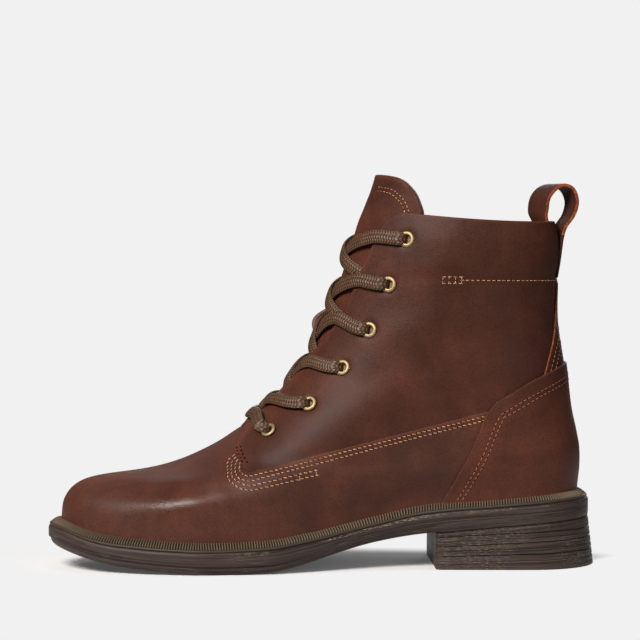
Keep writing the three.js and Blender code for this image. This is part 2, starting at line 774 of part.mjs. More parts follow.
// Two strands that cross, each from under one eyestay's edge up to the next eyelet opposite.
function crossing(index) {
  const strands = [-1, 1].map((side) => {
    const { open, climb, tuck } = EYELETS[index];
    const from = eyeletSeat(EYELETS[index], side);
    const to = eyeletSeat(EYELETS[index + 1], -side);
    const leather = (way) => LACE_LIFT + GAP + tabLift(between(from, to, way).point.x);
    const eyelet = to.lift + EYELET_FLANGE + GAP;
    const start = mix(leather(open), ON_TONGUE, tuck);
    const over = side < 0 ? 0.5 * LACE_THICKNESS : 0;
    const landing = mix(climb, 1, 0.45);
    return strand(from, to, [
      { way: open, lift: start },
      { way: mix(open, climb, 0.45), lift: start + tuck * LACE_LIFT + over },
      { way: climb, lift: leather(climb) },
      { way: landing, lift: mix(leather(landing), eyelet, 0.6) },
      { way: 0.93, lift: eyelet },
      { way: 1.0, lift: eyelet },
    ]);
  });
  return geometryFrom(strands[0].add(strands[1]));
}

// The straight bar over the lowest eyelets.
function bar() {
  const [from, to] = [-1, 1].map((side) => eyeletSeat(EYELETS[0], side));
  const eyelet = Math.max(from.lift, to.lift) + EYELET_FLANGE + 2 * GAP;
  return geometryFrom(strand(from, to, [
    { way: 0.0, lift: eyelet },
    { way: 0.14, lift: eyelet },
    { way: 0.34, lift: LACE_LIFT + TAB },
    { way: 0.66, lift: LACE_LIFT + TAB },
    { way: 0.86, lift: eyelet },
    { way: 1.0, lift: eyelet },
  ]));
}

// Bottom pieces

function soleRing(inset, height) {
  return loop(-HALF_LENGTH + inset, OUTSOLE_BACK - inset, SOLE_STEPS, (x, side) => {
    const y = spine(x) + side * soleHalf(x, inset, OUTSOLE_BACK);
    return new THREE.Vector3(x, y, height(x));
  });
}

function outsole() {
  return skin(SOLE_WALL.map((row) => soleRing(
    row.step * SOLE_EDGE_STEP,
    (x) => mix(underZ(x), soleTopZ(x), row.up),
  )));
}

// The heel block's outline: straight across the breast with round corners, then round the heel.
function heelRing(inset, flare, height) {
  const front = HALF_LENGTH - HEEL_BREAST + inset;
  const back = OUTSOLE_BACK + flare - inset;
  return loop(front, back, 14, (x, side) => {
    const reach = Math.max(0, x - front);
    const eased = HEEL_CORNER * (1 - roundEnd(reach / HEEL_CORNER));
    const whole = soleHalf(Math.min(x, back), inset - flare / 4, back + inset);
    const half = reach < 1e-6 ? 0 : whole - eased;
    return new THREE.Vector3(x, spine(x) + side * half, height(x));
  });
}

function heelBlock() {
  const topZ = (x) => underZ(x) - GAP;
  const levels = [{ inset: HEEL_BEVEL, at: () => 0 }, { inset: 0, at: () => HEEL_BEVEL }];
  GROOVES.forEach((groove) => {
    const way = (x) => (x - HALF_LENGTH + HEEL_BREAST) / HEEL_BREAST;
    const share = (x) => mix(groove.breast, groove.back, way(x));
    const at = (lift) => (x) => topZ(x) * share(x) + lift * GROOVE_HEIGHT;
    levels.push({ inset: 0, at: at(-0.5) });
    levels.push({ inset: GROOVE_DEPTH, at: at(0) });
    levels.push({ inset: 0, at: at(0.5) });
  });
  levels.push({ inset: 0, at: topZ });
  const backHeight = topZ(HALF_LENGTH);
  return skin(levels.map((level) => {
    const share = level.at(HALF_LENGTH) / backHeight;
    return heelRing(level.inset, HEEL_FLARE * (1 - share), level.at);
  }));
}

// The welt lies round the upper's foot, on the outsole, and is hollowed to clear it.
function welt() {
  const sections = loop(0, 1, SOLE_STEPS, (unused, side, share) => {
    const reach = (side === 0 ? 1 : side) * Math.sqrt(share);
    const start = upperPoint(0, reach);
    const inset = SOLE_EDGE_STEP * 0.75;
    const outX = mix(-HALF_LENGTH + inset, OUTSOLE_BACK - inset, share);
    const outY = spine(outX) + side * soleHalf(outX, inset, OUTSOLE_BACK);
    return WELT_SECTION.map((row) => {
      const x = mix(start.x, outX, row.out);
      const y = mix(start.y, outY, row.out);
      return new THREE.Vector3(x, y, soleTopZ(x) + WELT_SEAT + row.up * (WELT_HEIGHT - WELT_SEAT));
    });
  });
  const counterStart = sideX(0.745);
  const clearance = (point) => GAP + mix(
    PANEL,
    GAP + COUNTER,
    smooth(counterStart - WELT_WIDTH, counterStart - GAP, point.x),
  );
  return geometryFrom(solidOf(bandSkin(sections)).subtract(form(clearance)));
}

// Pull loop

// rows follow the strap's middle line in the side view, from inside the collar over the top and
// down the back, with the share of the twist that it has there.
function pullLoop() {
  const backAt = (z) => {
    const ring = ringAt(HEEL_X, z).ring;
    return sideX(ringBack(ring));
  };
  const half = LOOP_THICKNESS / 2;
  const innerX = (z) => backAt(z) - WALL - 2 * GAP - half - LOOP_BOW;
  const outerX = (z) => backAt(z) + GAP + half;
  const rows = [
    { x: innerX(sideZ(0.86)), z: sideZ(0.86), twist: 0 },
    { x: innerX(sideZ(0.93)), z: sideZ(0.93), twist: 0.1 },
    { x: innerX(sideZ(0.98)) - 0.6, z: sideZ(0.99), twist: 0.5 },
    { x: sideX(0.925), z: sideZ(1.045), twist: 0.9 },
    { x: sideX(0.938), z: sideZ(1.085), twist: 1 },
    { x: sideX(0.966), z: sideZ(1.1), twist: 1 },
    { x: sideX(0.99), z: sideZ(1.075), twist: 1 },
    { x: sideX(0.997), z: sideZ(1.025), twist: 1 },
    { x: outerX(sideZ(0.97)) + 2.2, z: sideZ(0.97), twist: 0.7 },
    { x: outerX(sideZ(0.9)) + 0.5, z: sideZ(0.91), twist: 0.2 },
    { x: outerX(sideZ(0.85)), z: sideZ(0.85), twist: 0 },
    { x: outerX(sideZ(0.79)), z: sideZ(0.79), twist: 0 },
  ];
  const path = new THREE.CatmullRomCurve3(rows.map((row) => new THREE.Vector3(row.x, 0, row.z)));
  const ways = rows.map((row, i) => ({ way: i / (rows.length - 1), twist: row.twist }));
  const twistAt = column(ways, 'way', 'twist');
  const steps = 22;
  const sections = [];
  for (let i = 0; i <= steps; i += 1) {
    const way = i / steps;
    const point = path.getPoint(way);
    const tangent = path.getTangent(way);
    const angle = -THREE.MathUtils.degToRad(LOOP_TWIST) * twistAt(way);
    const across = new THREE.Vector3(Math.sin(angle), Math.cos(angle), 0);
    const face = new THREE.Vector3().crossVectors(across, tangent).normalize();
    const middle = new THREE.Vector3(point.x, bodySpine(point.x, point.z), point.z);
    sections.push([[-1, -1], [1, -1], [1, 1], [-1, 1]].map(([out, up]) => middle.clone()
      .addScaledVector(across, (out * LOOP_WIDTH) / 2)
      .addScaledVector(face, (up * LOOP_THICKNESS) / 2)));
  }
  return skin(sections);
}

// The upper: one hollow wall, with the vamp's wing, the quarter's front tab and the back stay
// as steps in it.
function upper() {
  const outer = form(0)
    .add(form(PANEL).intersect(sideBlock(vampOutline())))
    .add(form((point) => tabLift(point.x)).intersect(sideBlock(quarterOutline())))
    .add(form(PANEL).intersect(sideBlock(stayOutline())));
  let wall = outer.intersect(sideBlock(bodyOutline())).subtract(form(-WALL));
  EYELETS.forEach((row) => {
    [-1, 1].forEach((side) => {
      wall = wall.subtract(eyeletHole(row, side));
    });
  });
  return geometryFrom(wall);
}

function counter() {
  const shell = form(GAP + COUNTER).subtract(form(GAP)).intersect(sideBlock(counterOutline()));
  return geometryFrom(aboveSole(shell, GAP));
}

function tongue() {
  const outerLift = -WALL - GAP;
  const shell = form(outerLift).subtract(form(outerLift - TONGUE));
  return geometryFrom(shell.intersect(sideBlock(tongueOutline())));
}

function insole() {
  const filled = aboveSole(form(-WALL - GAP), GAP);
  const lid = [...soleLine(GAP + INSOLE_THICKNESS), corner(FAR_BACK, SKY), corner(FAR_FRONT, SKY)];
  return geometryFrom(filled.subtract(sideBlock(lid)));
}

const boot = new THREE.Group();

function addPiece(name, geometry, colour, roughness, metalness) {
  const material = new THREE.MeshStandardMaterial({ color: colour, roughness, metalness });
  geometry.computeVertexNormals();
  const mesh = new THREE.Mesh(geometry, material);
  mesh.name = name;
  boot.add(mesh);
  return mesh;
}

addPiece('outsole', outsole(), COLOURS.rubber, 0.7, 0);
addPiece('heel_block', heelBlock(), COLOURS.rubber, 0.65, 0);
addPiece('welt', welt(), COLOURS.welt, 0.6, 0);
addPiece('insole', insole(), COLOURS.lining, 0.8, 0);
addPiece('upper', upper(), COLOURS.leather, 0.45, 0);
addPiece('heel_counter', counter(), COLOURS.leather, 0.45, 0);
addPiece('tongue', tongue(), COLOURS.leather, 0.5, 0);
addPiece('pull_loop', pullLoop(), COLOURS.edge, 0.5, 0);
EYELETS.forEach((row, i) => {
  [['inner', -1], ['outer', 1]].forEach(([name, side]) => {
    const seat = eyeletSeat(row, side);
    const geometry = eyeletGeometry(seat.lift);
    const eyelet = addPiece(`eyelet_${name}_${i + 1}`, geometry, COLOURS.brass, 0.35, 0.9);
    eyelet.quaternion.copy(seat.turn);
    eyelet.position.copy(seat.point);
  });
});
addPiece('lace_bar', bar(), COLOURS.lace, 0.7, 0);
for (let i = 0; i < EYELETS.length - 1; i += 1) {
  addPiece(`lace_crossing_${i + 1}`, crossing(i), COLOURS.lace, 0.7, 0);
}

export default boot;
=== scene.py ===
# %% [markdown]
# # A lace-up ankle boot
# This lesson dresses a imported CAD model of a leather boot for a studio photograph. The CAD
# gives the sizes and the place of every part. Here each part is built again as a dense, soft
# surface with cut edges, stitches, grain and gloss, in the same frame: the toe points to -X,
# the inner side of the foot faces -Y, and up is +Z.

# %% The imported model
import math

import bpy
import numpy as np
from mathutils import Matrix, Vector


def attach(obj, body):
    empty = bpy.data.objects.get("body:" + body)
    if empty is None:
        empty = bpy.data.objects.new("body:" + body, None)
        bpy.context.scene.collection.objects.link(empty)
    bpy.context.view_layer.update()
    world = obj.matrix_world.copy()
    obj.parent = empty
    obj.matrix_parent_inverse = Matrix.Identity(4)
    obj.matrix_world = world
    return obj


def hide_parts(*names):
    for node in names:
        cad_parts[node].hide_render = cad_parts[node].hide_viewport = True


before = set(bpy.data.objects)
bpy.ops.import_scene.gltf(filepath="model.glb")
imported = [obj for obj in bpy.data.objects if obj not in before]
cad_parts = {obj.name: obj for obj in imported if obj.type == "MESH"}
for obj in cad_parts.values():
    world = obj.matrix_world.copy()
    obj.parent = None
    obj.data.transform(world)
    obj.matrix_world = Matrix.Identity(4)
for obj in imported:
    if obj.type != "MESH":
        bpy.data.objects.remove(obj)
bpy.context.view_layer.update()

MM = 0.001

# %% [markdown]
# ## Camera
# The photograph is taken from the inner side, a little above the floor, with a long lens. The
# camera stands about 1.4 m away, two degrees towards the toe, and looks down by two degrees.
# One could match it by eye, but the height of the horizon and the size of the sole fix it.

# %% Camera
LOOK_DISTANCE = 1.38
CAMERA_HEIGHT = 0.1735
CAMERA_AZIMUTH = math.radians(2.0)
CAMERA_PITCH = math.radians(2.14)
PIXELS_PER_METRE, PICTURE_WIDTH = 2004.0, 640.0
SENSOR_WIDTH = 36.0

camera = bpy.data.objects.new("camera", bpy.data.cameras.new("camera"))
bpy.context.scene.collection.objects.link(camera)
camera.location = (
    -LOOK_DISTANCE * math.sin(CAMERA_AZIMUTH),
    -LOOK_DISTANCE * math.cos(CAMERA_AZIMUTH),
    CAMERA_HEIGHT,
)
camera.rotation_euler = (math.pi / 2 - CAMERA_PITCH, 0, -CAMERA_AZIMUTH)
camera.data.sensor_width = SENSOR_WIDTH
camera.data.lens = SENSOR_WIDTH * LOOK_DISTANCE * PIXELS_PER_METRE / PICTURE_WIDTH
bpy.context.scene.camera = camera
print("lens in mm:", round(camera.data.lens, 1))

# %% [markdown]
# ## Material arithmetic
# A procedural finish is a lot of small sums on textures. Wrapping a socket in a class that
# knows +, -, * and / lets a finish be written the way it is thought: `0.4 + 0.1 * grain`.
# Colours go through Mix nodes, because a Math node would turn them grey.

# %% A socket that can be added and multiplied


class Link:
    """An output socket of a finish, with arithmetic."""

    def __init__(self, finish, socket):
        self.finish = finish
        self.socket = socket

    def _sum(self, operation, first, second):
        return self.finish.node("ShaderNodeMath", {"operation": operation}, {0: first, 1: second})

    def __add__(self, other):
        return self._sum("ADD", self, other)

    def __radd__(self, other):
        return self._sum("ADD", other, self)

    def __sub__(self, other):
        return self._sum("SUBTRACT", self, other)

    def __rsub__(self, other):
        return self._sum("SUBTRACT", other, self)

    def __mul__(self, other):
        return self._sum("MULTIPLY", self, other)

    def __rmul__(self, other):
        return self._sum("MULTIPLY", other, self)

    def __truediv__(self, other):
        return self._sum("DIVIDE", self, other)

    def __pow__(self, other):
        return self._sum("POWER", self, other)


class Finish:
    """A material that is built up node by node."""

    def __init__(self, name, fixed=None):
        self.material = bpy.data.materials.new(name)
        self.material.use_nodes = True
        self.tree = self.material.node_tree
        self.shader = self.tree.nodes["Principled BSDF"]
        for key, value in (fixed or {}).items():
            self.shader.inputs[key].default_value = value

    def node(self, kind, settings=None, inputs=None, output=0):
        """Adds a node: its settings first, then the values or links of its sockets."""
        made = self.tree.nodes.new(kind)
        for key, value in (settings or {}).items():
            setattr(made, key, value)
        for key, value in (inputs or {}).items():
            if isinstance(value, Link):
                self.tree.links.new(value.socket, made.inputs[key])
            elif value is not None:
                made.inputs[key].default_value = value
        return Link(self, made.outputs[output])

    def place(self, x=1.0, y=1.0, z=1.0):
        """The place on the object in metres, stretched along each axis."""
        where = self.node("ShaderNodeTexCoord", output="Object")
        return self.node("ShaderNodeVectorMath", {"operation": "MULTIPLY"}, {0: where, 1: (x, y, z)})

    def split(self, vector):
        """The x, y and z of a vector."""
        first = self.node("ShaderNodeSeparateXYZ", None, {0: vector})
        return [Link(self, out) for out in first.socket.node.outputs]

    def noise(self, scale, detail=2.0, rough=0.5, where=None, distortion=0.0):
        values = {"Vector": where or self.place(), "Scale": scale, "Detail": detail, "Roughness": rough}
        return self.node("ShaderNodeTexNoise", None, {**values, "Distortion": distortion})

    def painted(self, name):
        """A value painted on the mesh's points."""
        return self.node("ShaderNodeAttribute", {"attribute_name": name}, output="Fac")

    def ramp(self, value, low, high):
        """0 below low, 1 above high, and smooth between them."""
        values = {"Value": value, "From Min": low, "From Max": high}
        return self.node("ShaderNodeMapRange", {"interpolation_type": "SMOOTHSTEP"}, values)

    def mix(self, below, above, share, blend="MIX"):
        """One colour over another."""
        settings = {"data_type": "RGBA", "blend_type": blend}
        return self.node("ShaderNodeMix", settings, {0: share, 6: below, 7: above}, output=2)

    def shade(self, colour, amount):
        """A colour made darker or lighter by a number."""
        grey = self.node("ShaderNodeCombineColor", None, {0: amount, 1: amount, 2: amount})
        return self.mix(colour, grey, 1.0, "MULTIPLY")

    def relief(self, *layers):
        """Bumps laid over each other: (height, depth in mm, strength)."""
        normal = None
        for height, depth, strength in layers:
            values = {"Strength": strength, "Distance": depth * MM, "Height": height, "Normal": normal}
            normal = self.node("ShaderNodeBump", None, values)
        self.feed("Normal", normal)

    def feed(self, socket, link):
        self.tree.links.new(link.socket, self.shader.inputs[socket])


def tone(red, green, blue):
    """A colour named as on a screen, 0 to 255, in the renderer's linear terms."""
    values = [c / 255 for c in (red, green, blue)]
    return tuple(c / 12.92 if c < 0.04045 else ((c + 0.055) / 1.055) ** 2.4 for c in values) + (1.0,)


def speckled(name, fixed, noise, low, high, span=None, bump=None):
    """A finish of two colours in a fine speckle, and the speckle."""
    made = Finish(name, fixed)
    speckle = made.noise(*noise)
    share = made.ramp(speckle, *span) if span else speckle
    made.feed("Base Color", made.mix(tone(*low), tone(*high), share))
    if bump:
        made.relief((speckle, *bump))
    return made, speckle


# %% [markdown]
# ## Light
# One broad soft light hangs in front of the toe and above. A weak fill and two low lights from
# behind keep the far side readable. The room behind the camera is dim, so the waxed leather
# keeps its colour and shines only where it leans back towards the light. The camera itself
# sees an even pale backdrop in place of that dim room.

# %% Lights
BACKDROP = tone(241, 241, 241)
WHITE = (1.0, 1.0, 1.0)
LIGHTS = [  # name, place, aim, size, watts, colour
    ("key", (-0.78, -1.3, 1.2), (-0.03, 0, 0.06), (0.75, 0.65), 64.0, (1.0, 0.96, 0.92)),
    ("fill", (1.4, -1.7, 0.9), (0, 0, 0.08), (1.2, 1.0), 8.0, WHITE),
    ("rim", (-0.4, 1.6, 1.5), (0, 0, 0.1), (1.4, 0.6), 3.0, WHITE),
    ("back fill", (0.5, 1.9, 0.6), (0, 0, 0.09), (1.2, 0.9), 12.0, WHITE),
]
for name, place, aim, size, power, colour in LIGHTS:
    light = bpy.data.objects.new(name, bpy.data.lights.new(name, "AREA"))
    light.data.shape = "RECTANGLE"
    light.data.size, light.data.size_y = size
    light.data.energy = power
    light.data.color = colour
    light.location = place
    light.rotation_euler = (Vector(aim) - Vector(place)).to_track_quat("-Z", "Y").to_euler()
    bpy.context.scene.collection.objects.link(light)
print("lights:", ", ".join(row[0] for row in LIGHTS))

# %% The room
FLOOR_LIGHT, CEILING_LIGHT = 0.07, 0.16
world = bpy.data.worlds.new("studio")
bpy.context.scene.world = world
world.use_nodes = True
room = world.node_tree
ground = room.nodes["Background"]
sky_way, sky_parts, sky_level, plain, seen, either = (
    room.nodes.new("ShaderNode" + kind)
    for kind in ("TexCoord", "SeparateXYZ", "MapRange", "Background", "LightPath", "MixShader")
)
sky_level.inputs["To Min"].default_value = FLOOR_LIGHT
sky_level.inputs["To Max"].default_value = CEILING_LIGHT
plain.inputs["Color"].default_value = BACKDROP
ground.inputs["Color"].default_value = (*WHITE, 1.0)
for source, outlet, target, inlet in [
    (sky_way, "Generated", sky_parts, 0), (sky_parts, "Z", sky_level, "Value"),
    (sky_level, 0, ground, "Strength"), (seen, "Is Camera Ray", either, 0),
    (ground, 0, either, 1), (plain, 0, either, 2), (either, 0, room.nodes["World Output"], "Surface"),
]:
    room.links.new(source.outputs[outlet], target.inputs[inlet])
bpy.context.scene.view_settings.view_transform = "Standard"
print("the room glows from", FLOOR_LIGHT, "at the floor to", CEILING_LIGHT, "at the ceiling")

# %% [markdown]
# ## The boot's own form
# A last is measured in a few sections: length, ball width, girth, instep. Short tables, nearly
# those of the CAD, give the sections, and one function turns a place on the boot into a point.
# The place is a ring, from 0 at the welt to 14 at the collar, and an angle, 0 at the toe,
# positive over the outer side, pi at the heel.

# %% Sizes and tables, in millimetres
SOLE_LENGTH, BALL_WIDTH, BALL_STACK = 272.0, 98.0, 15.6
TOE_ROUND, HEEL_ROUND, TOE_SPRING, HEEL_RISE = 54.0, 33.0, 9.4, 22.9
WELT_WIDTH, WELT_HEIGHT = 6.0, 4.6
HEEL_FLARE, HEEL_BREAST = 2.3, 80.0
FRONT_RISE, BACK_RISE, ANKLE_WIDTH = 151.0, 134.0, 66.0
WALL, PANEL, TAB, COUNTER = 2.0, 0.9, 1.7, 1.5
HALF_LENGTH = SOLE_LENGTH / 2
OUTSOLE_BACK = HALF_LENGTH - HEEL_FLARE
TOE_X, HEEL_X = -127.9, 126.9
UPPER_LENGTH = HEEL_X - TOE_X
COLLAR_RING = 14

FOOT = np.array([  # along, spine, half, girth, ledge
    (0.0, -0.055, 0.385, 0.318, 1), (0.03, -0.058, 0.385, 0.319, 1), (0.08, -0.058, 0.389, 0.327, 1),
    (0.15, -0.047, 0.408, 0.352, 1), (0.24, -0.028, 0.465, 0.408, 1), (0.3, -0.01, 0.49, 0.438, 1),
    (0.38, 0.009, 0.491, 0.44, 1), (0.46, 0.029, 0.461, 0.42, 0.95), (0.54, 0.048, 0.405, 0.39, 0.9),
    (0.62, 0.055, 0.352, 0.365, 0.85), (0.7, 0.043, 0.329, 0.345, 0.8), (0.8, 0.024, 0.326, 0.325, 0.75),
    (0.9, 0.014, 0.326, 0.31, 0.75), (1.0, 0.01, 0.322, 0.3, 0.8),
])
LIFT = np.array([  # along, spring, rise, under_spring, under_rise
    (0.0, 1.12, 0, 1.5, 0), (0.03, 0.98, 0, 1.12, 0), (0.08, 0.5, 0, 0.66, 0), (0.15, 0.225, 0, 0.29, 0),
    (0.24, 0.05, 0, 0.095, 0), (0.27, 0.015, 0, 0, 0), (0.385, 0, 0.033, 0, 0), (0.46, 0, 0.15, 0, 0.155),
    (0.54, 0, 0.34, 0, 0.455), (0.62, 0, 0.545, 0, 0.66), (0.7, 0, 0.735, 0, 0.79), (0.8, 0, 0.838, 0, 0.9),
    (0.9, 0, 0.935, 0, 1.0), (1.0, 0, 1.01, 0, 1.096),
])
RINGS = np.array([  # ring, front, front_up, back, back_up, nose, tail, pinch
    (0, 0.0, 0.0, 1.0, 0.0, 0.212, 0.118, 0), (1, 0.002, 0.042, 1.003, 0.049, 0.212, 0.118, 0),
    (2, 0.01, 0.074, 1.005, 0.093, 0.225, 0.118, 0), (3, 0.027, 0.105, 1.005, 0.138, 0.3, 0.118, 0),
    (4, 0.067, 0.1315, 1.001, 0.187, 0.42, 0.12, 0), (5, 0.137, 0.145, 0.996, 0.235, 0.385, 0.123, 0),
    (6, 0.203, 0.166, 0.99, 0.284, 0.39, 0.126, 0), (7, 0.278, 0.217, 0.986, 0.336, 0.325, 0.13, 0.1),
    (8, 0.336, 0.273, 0.983, 0.392, 0.28, 0.135, 0.3), (9, 0.407, 0.394, 0.979, 0.463, 0.24, 0.143, 0.6),
    (10, 0.47, 0.52, 0.971, 0.552, 0.22, 0.153, 0.9), (11, 0.51, 0.675, 0.965, 0.653, 0.21, 0.163, 1),
    (12, 0.537, 0.801, 0.967, 0.787, 0.21, 0.17, 1), (13, 0.559, 0.924, 0.97, 0.907, 0.21, 0.173, 1),
    (14, 0.581, 1.0, 0.961, 1.0, 0.21, 0.173, 1), (15, 0.604, 1.073, 0.959, 1.08, 0.21, 0.173, 1),
    (16, 0.613, 1.17, 0.957, 1.18, 0.21, 0.173, 1),
])
SHAFT = np.array([  # level, half
    (0.0, 0.45), (0.2, 0.46), (0.4, 0.485), (0.6, 0.485), (0.8, 0.495), (0.95, 0.5), (1.2, 0.5),
])
EYELETS = [(0.397, 0.2865), (0.477, 0.381), (0.543, 0.493), (0.594, 0.619), (0.6305, 0.766), (0.665, 0.916)]

# %% Curves through a table


def column(rows, key):
    """A smooth curve through a column of a table that never swings past its rows."""
    xs, ys = rows[:, 0], rows[:, key]
    slopes = np.diff(ys) / np.diff(xs)
    tangents = np.zeros(len(xs))
    tangents[0], tangents[-1] = slopes[0], slopes[-1]
    for i in range(1, len(xs) - 1):
        product = slopes[i - 1] * slopes[i]
        tangents[i] = 0 if product <= 0 else 2 * product / (slopes[i - 1] + slopes[i])

    def curve(at):
        at = np.asarray(at, float)
        i = np.searchsorted(xs[1:-1], at, side="left")
        width = xs[i + 1] - xs[i]
        t = np.clip((at - xs[i]) / width, 0, 1)
        left = ys[i] + tangents[i] * width * t
        right = ys[i + 1] - tangents[i + 1] * width * (1 - t)
        return left + (right - left) * t * t * (3 - 2 * t)

    return curve


def smooth(low, high, value):
    t = np.clip((value - low) / (high - low), 0, 1)
    return t * t * (3 - 2 * t)


def round_end(share):
    t = np.clip(share, 0, 1)
    return np.sqrt(1 - (1 - t) ** 2)

def brushed(values, width, axis=0, around=False):
    """Values averaged with their neighbours over about width steps along an axis."""
    reach = int(3 * width)
    weights = np.exp(-0.5 * (np.arange(-reach, reach + 1) / width) ** 2)
    weights /= weights.sum()
    moved = np.moveaxis(values, axis, 0)
    if around:
        padded = np.concatenate([moved[-reach:], moved, moved[:reach]])
    else:
        low = 2 * moved[:1] - moved[reach:0:-1]
        high = 2 * moved[-1:] - moved[-2:-reach - 2:-1]
        padded = np.concatenate([low, moved, high])
    result = sum(w * padded[k:k + len(moved)] for k, w in enumerate(weights))
    return np.moveaxis(result, 0, axis)


spine_share, half_share, girth_share, ledge_share = (column(FOOT, k) for k in (1, 2, 3, 4))
spring_share, rise_share, under_spring, under_rise = (column(LIFT, k) for k in (1, 2, 3, 4))
ring_front, ring_front_up, ring_back, ring_back_up, ring_nose, ring_tail, ring_pinch = (
    column(RINGS, k) for k in range(1, 8)
)
shaft_share = column(SHAFT, 1)


def along(x):
    return (x + HALF_LENGTH) / SOLE_LENGTH


def spine(x):
    return BALL_WIDTH * spine_share(along(x))


WALK = np.arange(-150.0, 151.0)
walked = along(WALK)
SEAM_LINE = brushed(BALL_STACK + TOE_SPRING * spring_share(walked) + HEEL_RISE * rise_share(walked), 4)
UNDER_LINE = brushed(TOE_SPRING * under_spring(walked) + HEEL_RISE * under_rise(walked), 11)
UNDER_LINE -= UNDER_LINE.min()


def seam_z(x):
    return np.interp(x, WALK, SEAM_LINE)


def under_z(x):
    return np.interp(x, WALK, UNDER_LINE)


def sole_top_z(x):
    return seam_z(x) - WELT_HEIGHT


def sole_half(x, inset, back):
    body = BALL_WIDTH * half_share(along(x)) - inset
    body = body * round_end((x + HALF_LENGTH - inset) / TOE_ROUND)
    return body * round_end((back - inset - x) / HEEL_ROUND)


TOE_SEAM, HEEL_SEAM = float(seam_z(TOE_X)), float(seam_z(HEEL_X))
print("seam above the floor at toe and heel:", round(TOE_SEAM, 1), round(HEEL_SEAM, 1))

# %% The upper's outer face


def body_half(x, z):
    seam = BALL_WIDTH * half_share(along(x)) - WELT_WIDTH * ledge_share(along(x)) - PANEL
    girth = BALL_WIDTH * girth_share(along(x))
    low = seam + (girth - seam) * smooth(0, 0.16 * BACK_RISE, z - seam_z(x))
    level = (z - HEEL_SEAM) / BACK_RISE
    return low + (ANKLE_WIDTH * shaft_share(level) - low) * smooth(0.17, 0.55, level)


def body_spine(x, z):
    level = (z - HEEL_SEAM) / BACK_RISE
    return spine(x) + (0.012 * BALL_WIDTH - spine(x)) * smooth(0.1, 0.6, level)


def ring_place(ring, share):
    """Where a ring stands in the side view, share of the way from its front to its back."""
    held = np.maximum(0, ring)
    front = TOE_X + UPPER_LENGTH * ring_front(held)
    back = TOE_X + UPPER_LENGTH * ring_back(held)
    front_z = TOE_SEAM + FRONT_RISE * ring_front_up(held)
    back_z = HEEL_SEAM + BACK_RISE * ring_back_up(held)
    seam_x = TOE_X + UPPER_LENGTH * share
    sag = seam_z(seam_x) - (TOE_SEAM + (HEEL_SEAM - TOE_SEAM) * share)
    fade = np.maximum(0, 1 - held / COLLAR_RING) ** 1.6
    x = front + (back - front) * share
    return x, front_z + (back_z - front_z) * share + sag * fade, front, back


def upper_point(ring, angle):
    share = (1 - np.cos(angle)) / 2
    held = np.maximum(0, ring)
    x, z, front, back = ring_place(ring, share)
    pinch = ring_pinch(held)
    nose = np.clip((x - front) / (UPPER_LENGTH * ring_nose(held)), 0, 1)
    rounded = (1 - (1 - nose) ** (2 - 0.4 * pinch)) ** (1 / (2 - 0.2 * pinch))
    tail = round_end((back - x) / (UPPER_LENGTH * ring_tail(held)))
    half = body_half(x, z) * rounded * tail
    y = body_spine(x, z) + np.sign(np.sin(angle)) * half
    return np.stack([x, y, z + np.minimum(0, ring) * WELT_HEIGHT], -1)


# %% [markdown]
# The tables are exact at their rows, but polished leather shows every change of curvature. So
# the form is sampled once on a fine net and brushed smooth by a few millimetres, and everything
# after this reads its points and normals from that net.

# %% A fair net of points and normals
RING_LOW, RING_HIGH, RING_STEP = -1.0, 16.0, 0.05
ANGLES = 720
net_rings = np.arange(RING_LOW, RING_HIGH + RING_STEP / 2, RING_STEP)
net_angles = np.arange(ANGLES) * 2 * np.pi / ANGLES
net_points = upper_point(net_rings[:, None] + 0 * net_angles, net_angles + 0 * net_rings[:, None])
net_points = brushed(brushed(net_points, 4.5, 1, True), 8.0)
rise_way = np.gradient(net_points, axis=0)
round_way = (np.roll(net_points, -1, 1) - np.roll(net_points, 1, 1)) / 2
net_normals = np.cross(rise_way, round_way)
net_normals /= np.linalg.norm(net_normals, axis=-1, keepdims=True)
net_normals = brushed(net_normals, 2.0, 1, True)
print("net of", net_points.shape[:2], "points")


def unit(v):
    return v / np.maximum(np.linalg.norm(v, axis=-1, keepdims=True), 1e-9)


def surface(ring, angle):
    """Points and outward normals of the upper's face at rings and angles."""
    r = np.clip((np.asarray(ring, float) - RING_LOW) / RING_STEP, 0, len(net_rings) - 1.001)
    a = (np.asarray(angle, float) % (2 * np.pi)) / (2 * np.pi) * ANGLES
    i, j = r.astype(int), a.astype(int) % ANGLES
    fr, fa = (r - r.astype(int))[..., None], (a - a.astype(int))[..., None]
    k = (j + 1) % ANGLES

    def read(net):
        low = net[i, j] * (1 - fa) + net[i, k] * fa
        high = net[i + 1, j] * (1 - fa) + net[i + 1, k] * fa
        return low * (1 - fr) + high * fr

    return read(net_points), unit(read(net_normals))


def side_xz(x, z):
    """Millimetres of a place named in shares of the upper's length and rise."""
    return TOE_X + UPPER_LENGTH * np.asarray(x, float), TOE_SEAM + FRONT_RISE * np.asarray(z, float)


def shares(points):
    """How far along the upper, and how high above the toe seam, points lie in shares."""
    return (points[..., 0] - TOE_X) / UPPER_LENGTH, (points[..., 2] - TOE_SEAM) / FRONT_RISE


def find(x, z):
    """The ring and the angle, from 0 to pi, of a place in the side view in millimetres."""
    x, z = np.broadcast_arrays(np.asarray(x, float), np.asarray(z, float))
    low, high = np.zeros(x.shape), np.full(x.shape, 16.0)
    share = np.zeros(x.shape)
    for _ in range(36):
        middle = (low + high) / 2
        front = TOE_X + UPPER_LENGTH * ring_front(middle)
        back = TOE_X + UPPER_LENGTH * ring_back(middle)
        share = np.clip((x - front) / (back - front), 0, 1)
        under = ring_place(middle, share)[1] < z
        low, high = np.where(under, middle, low), np.where(under, high, middle)
    return low, np.arccos(1 - 2 * share)


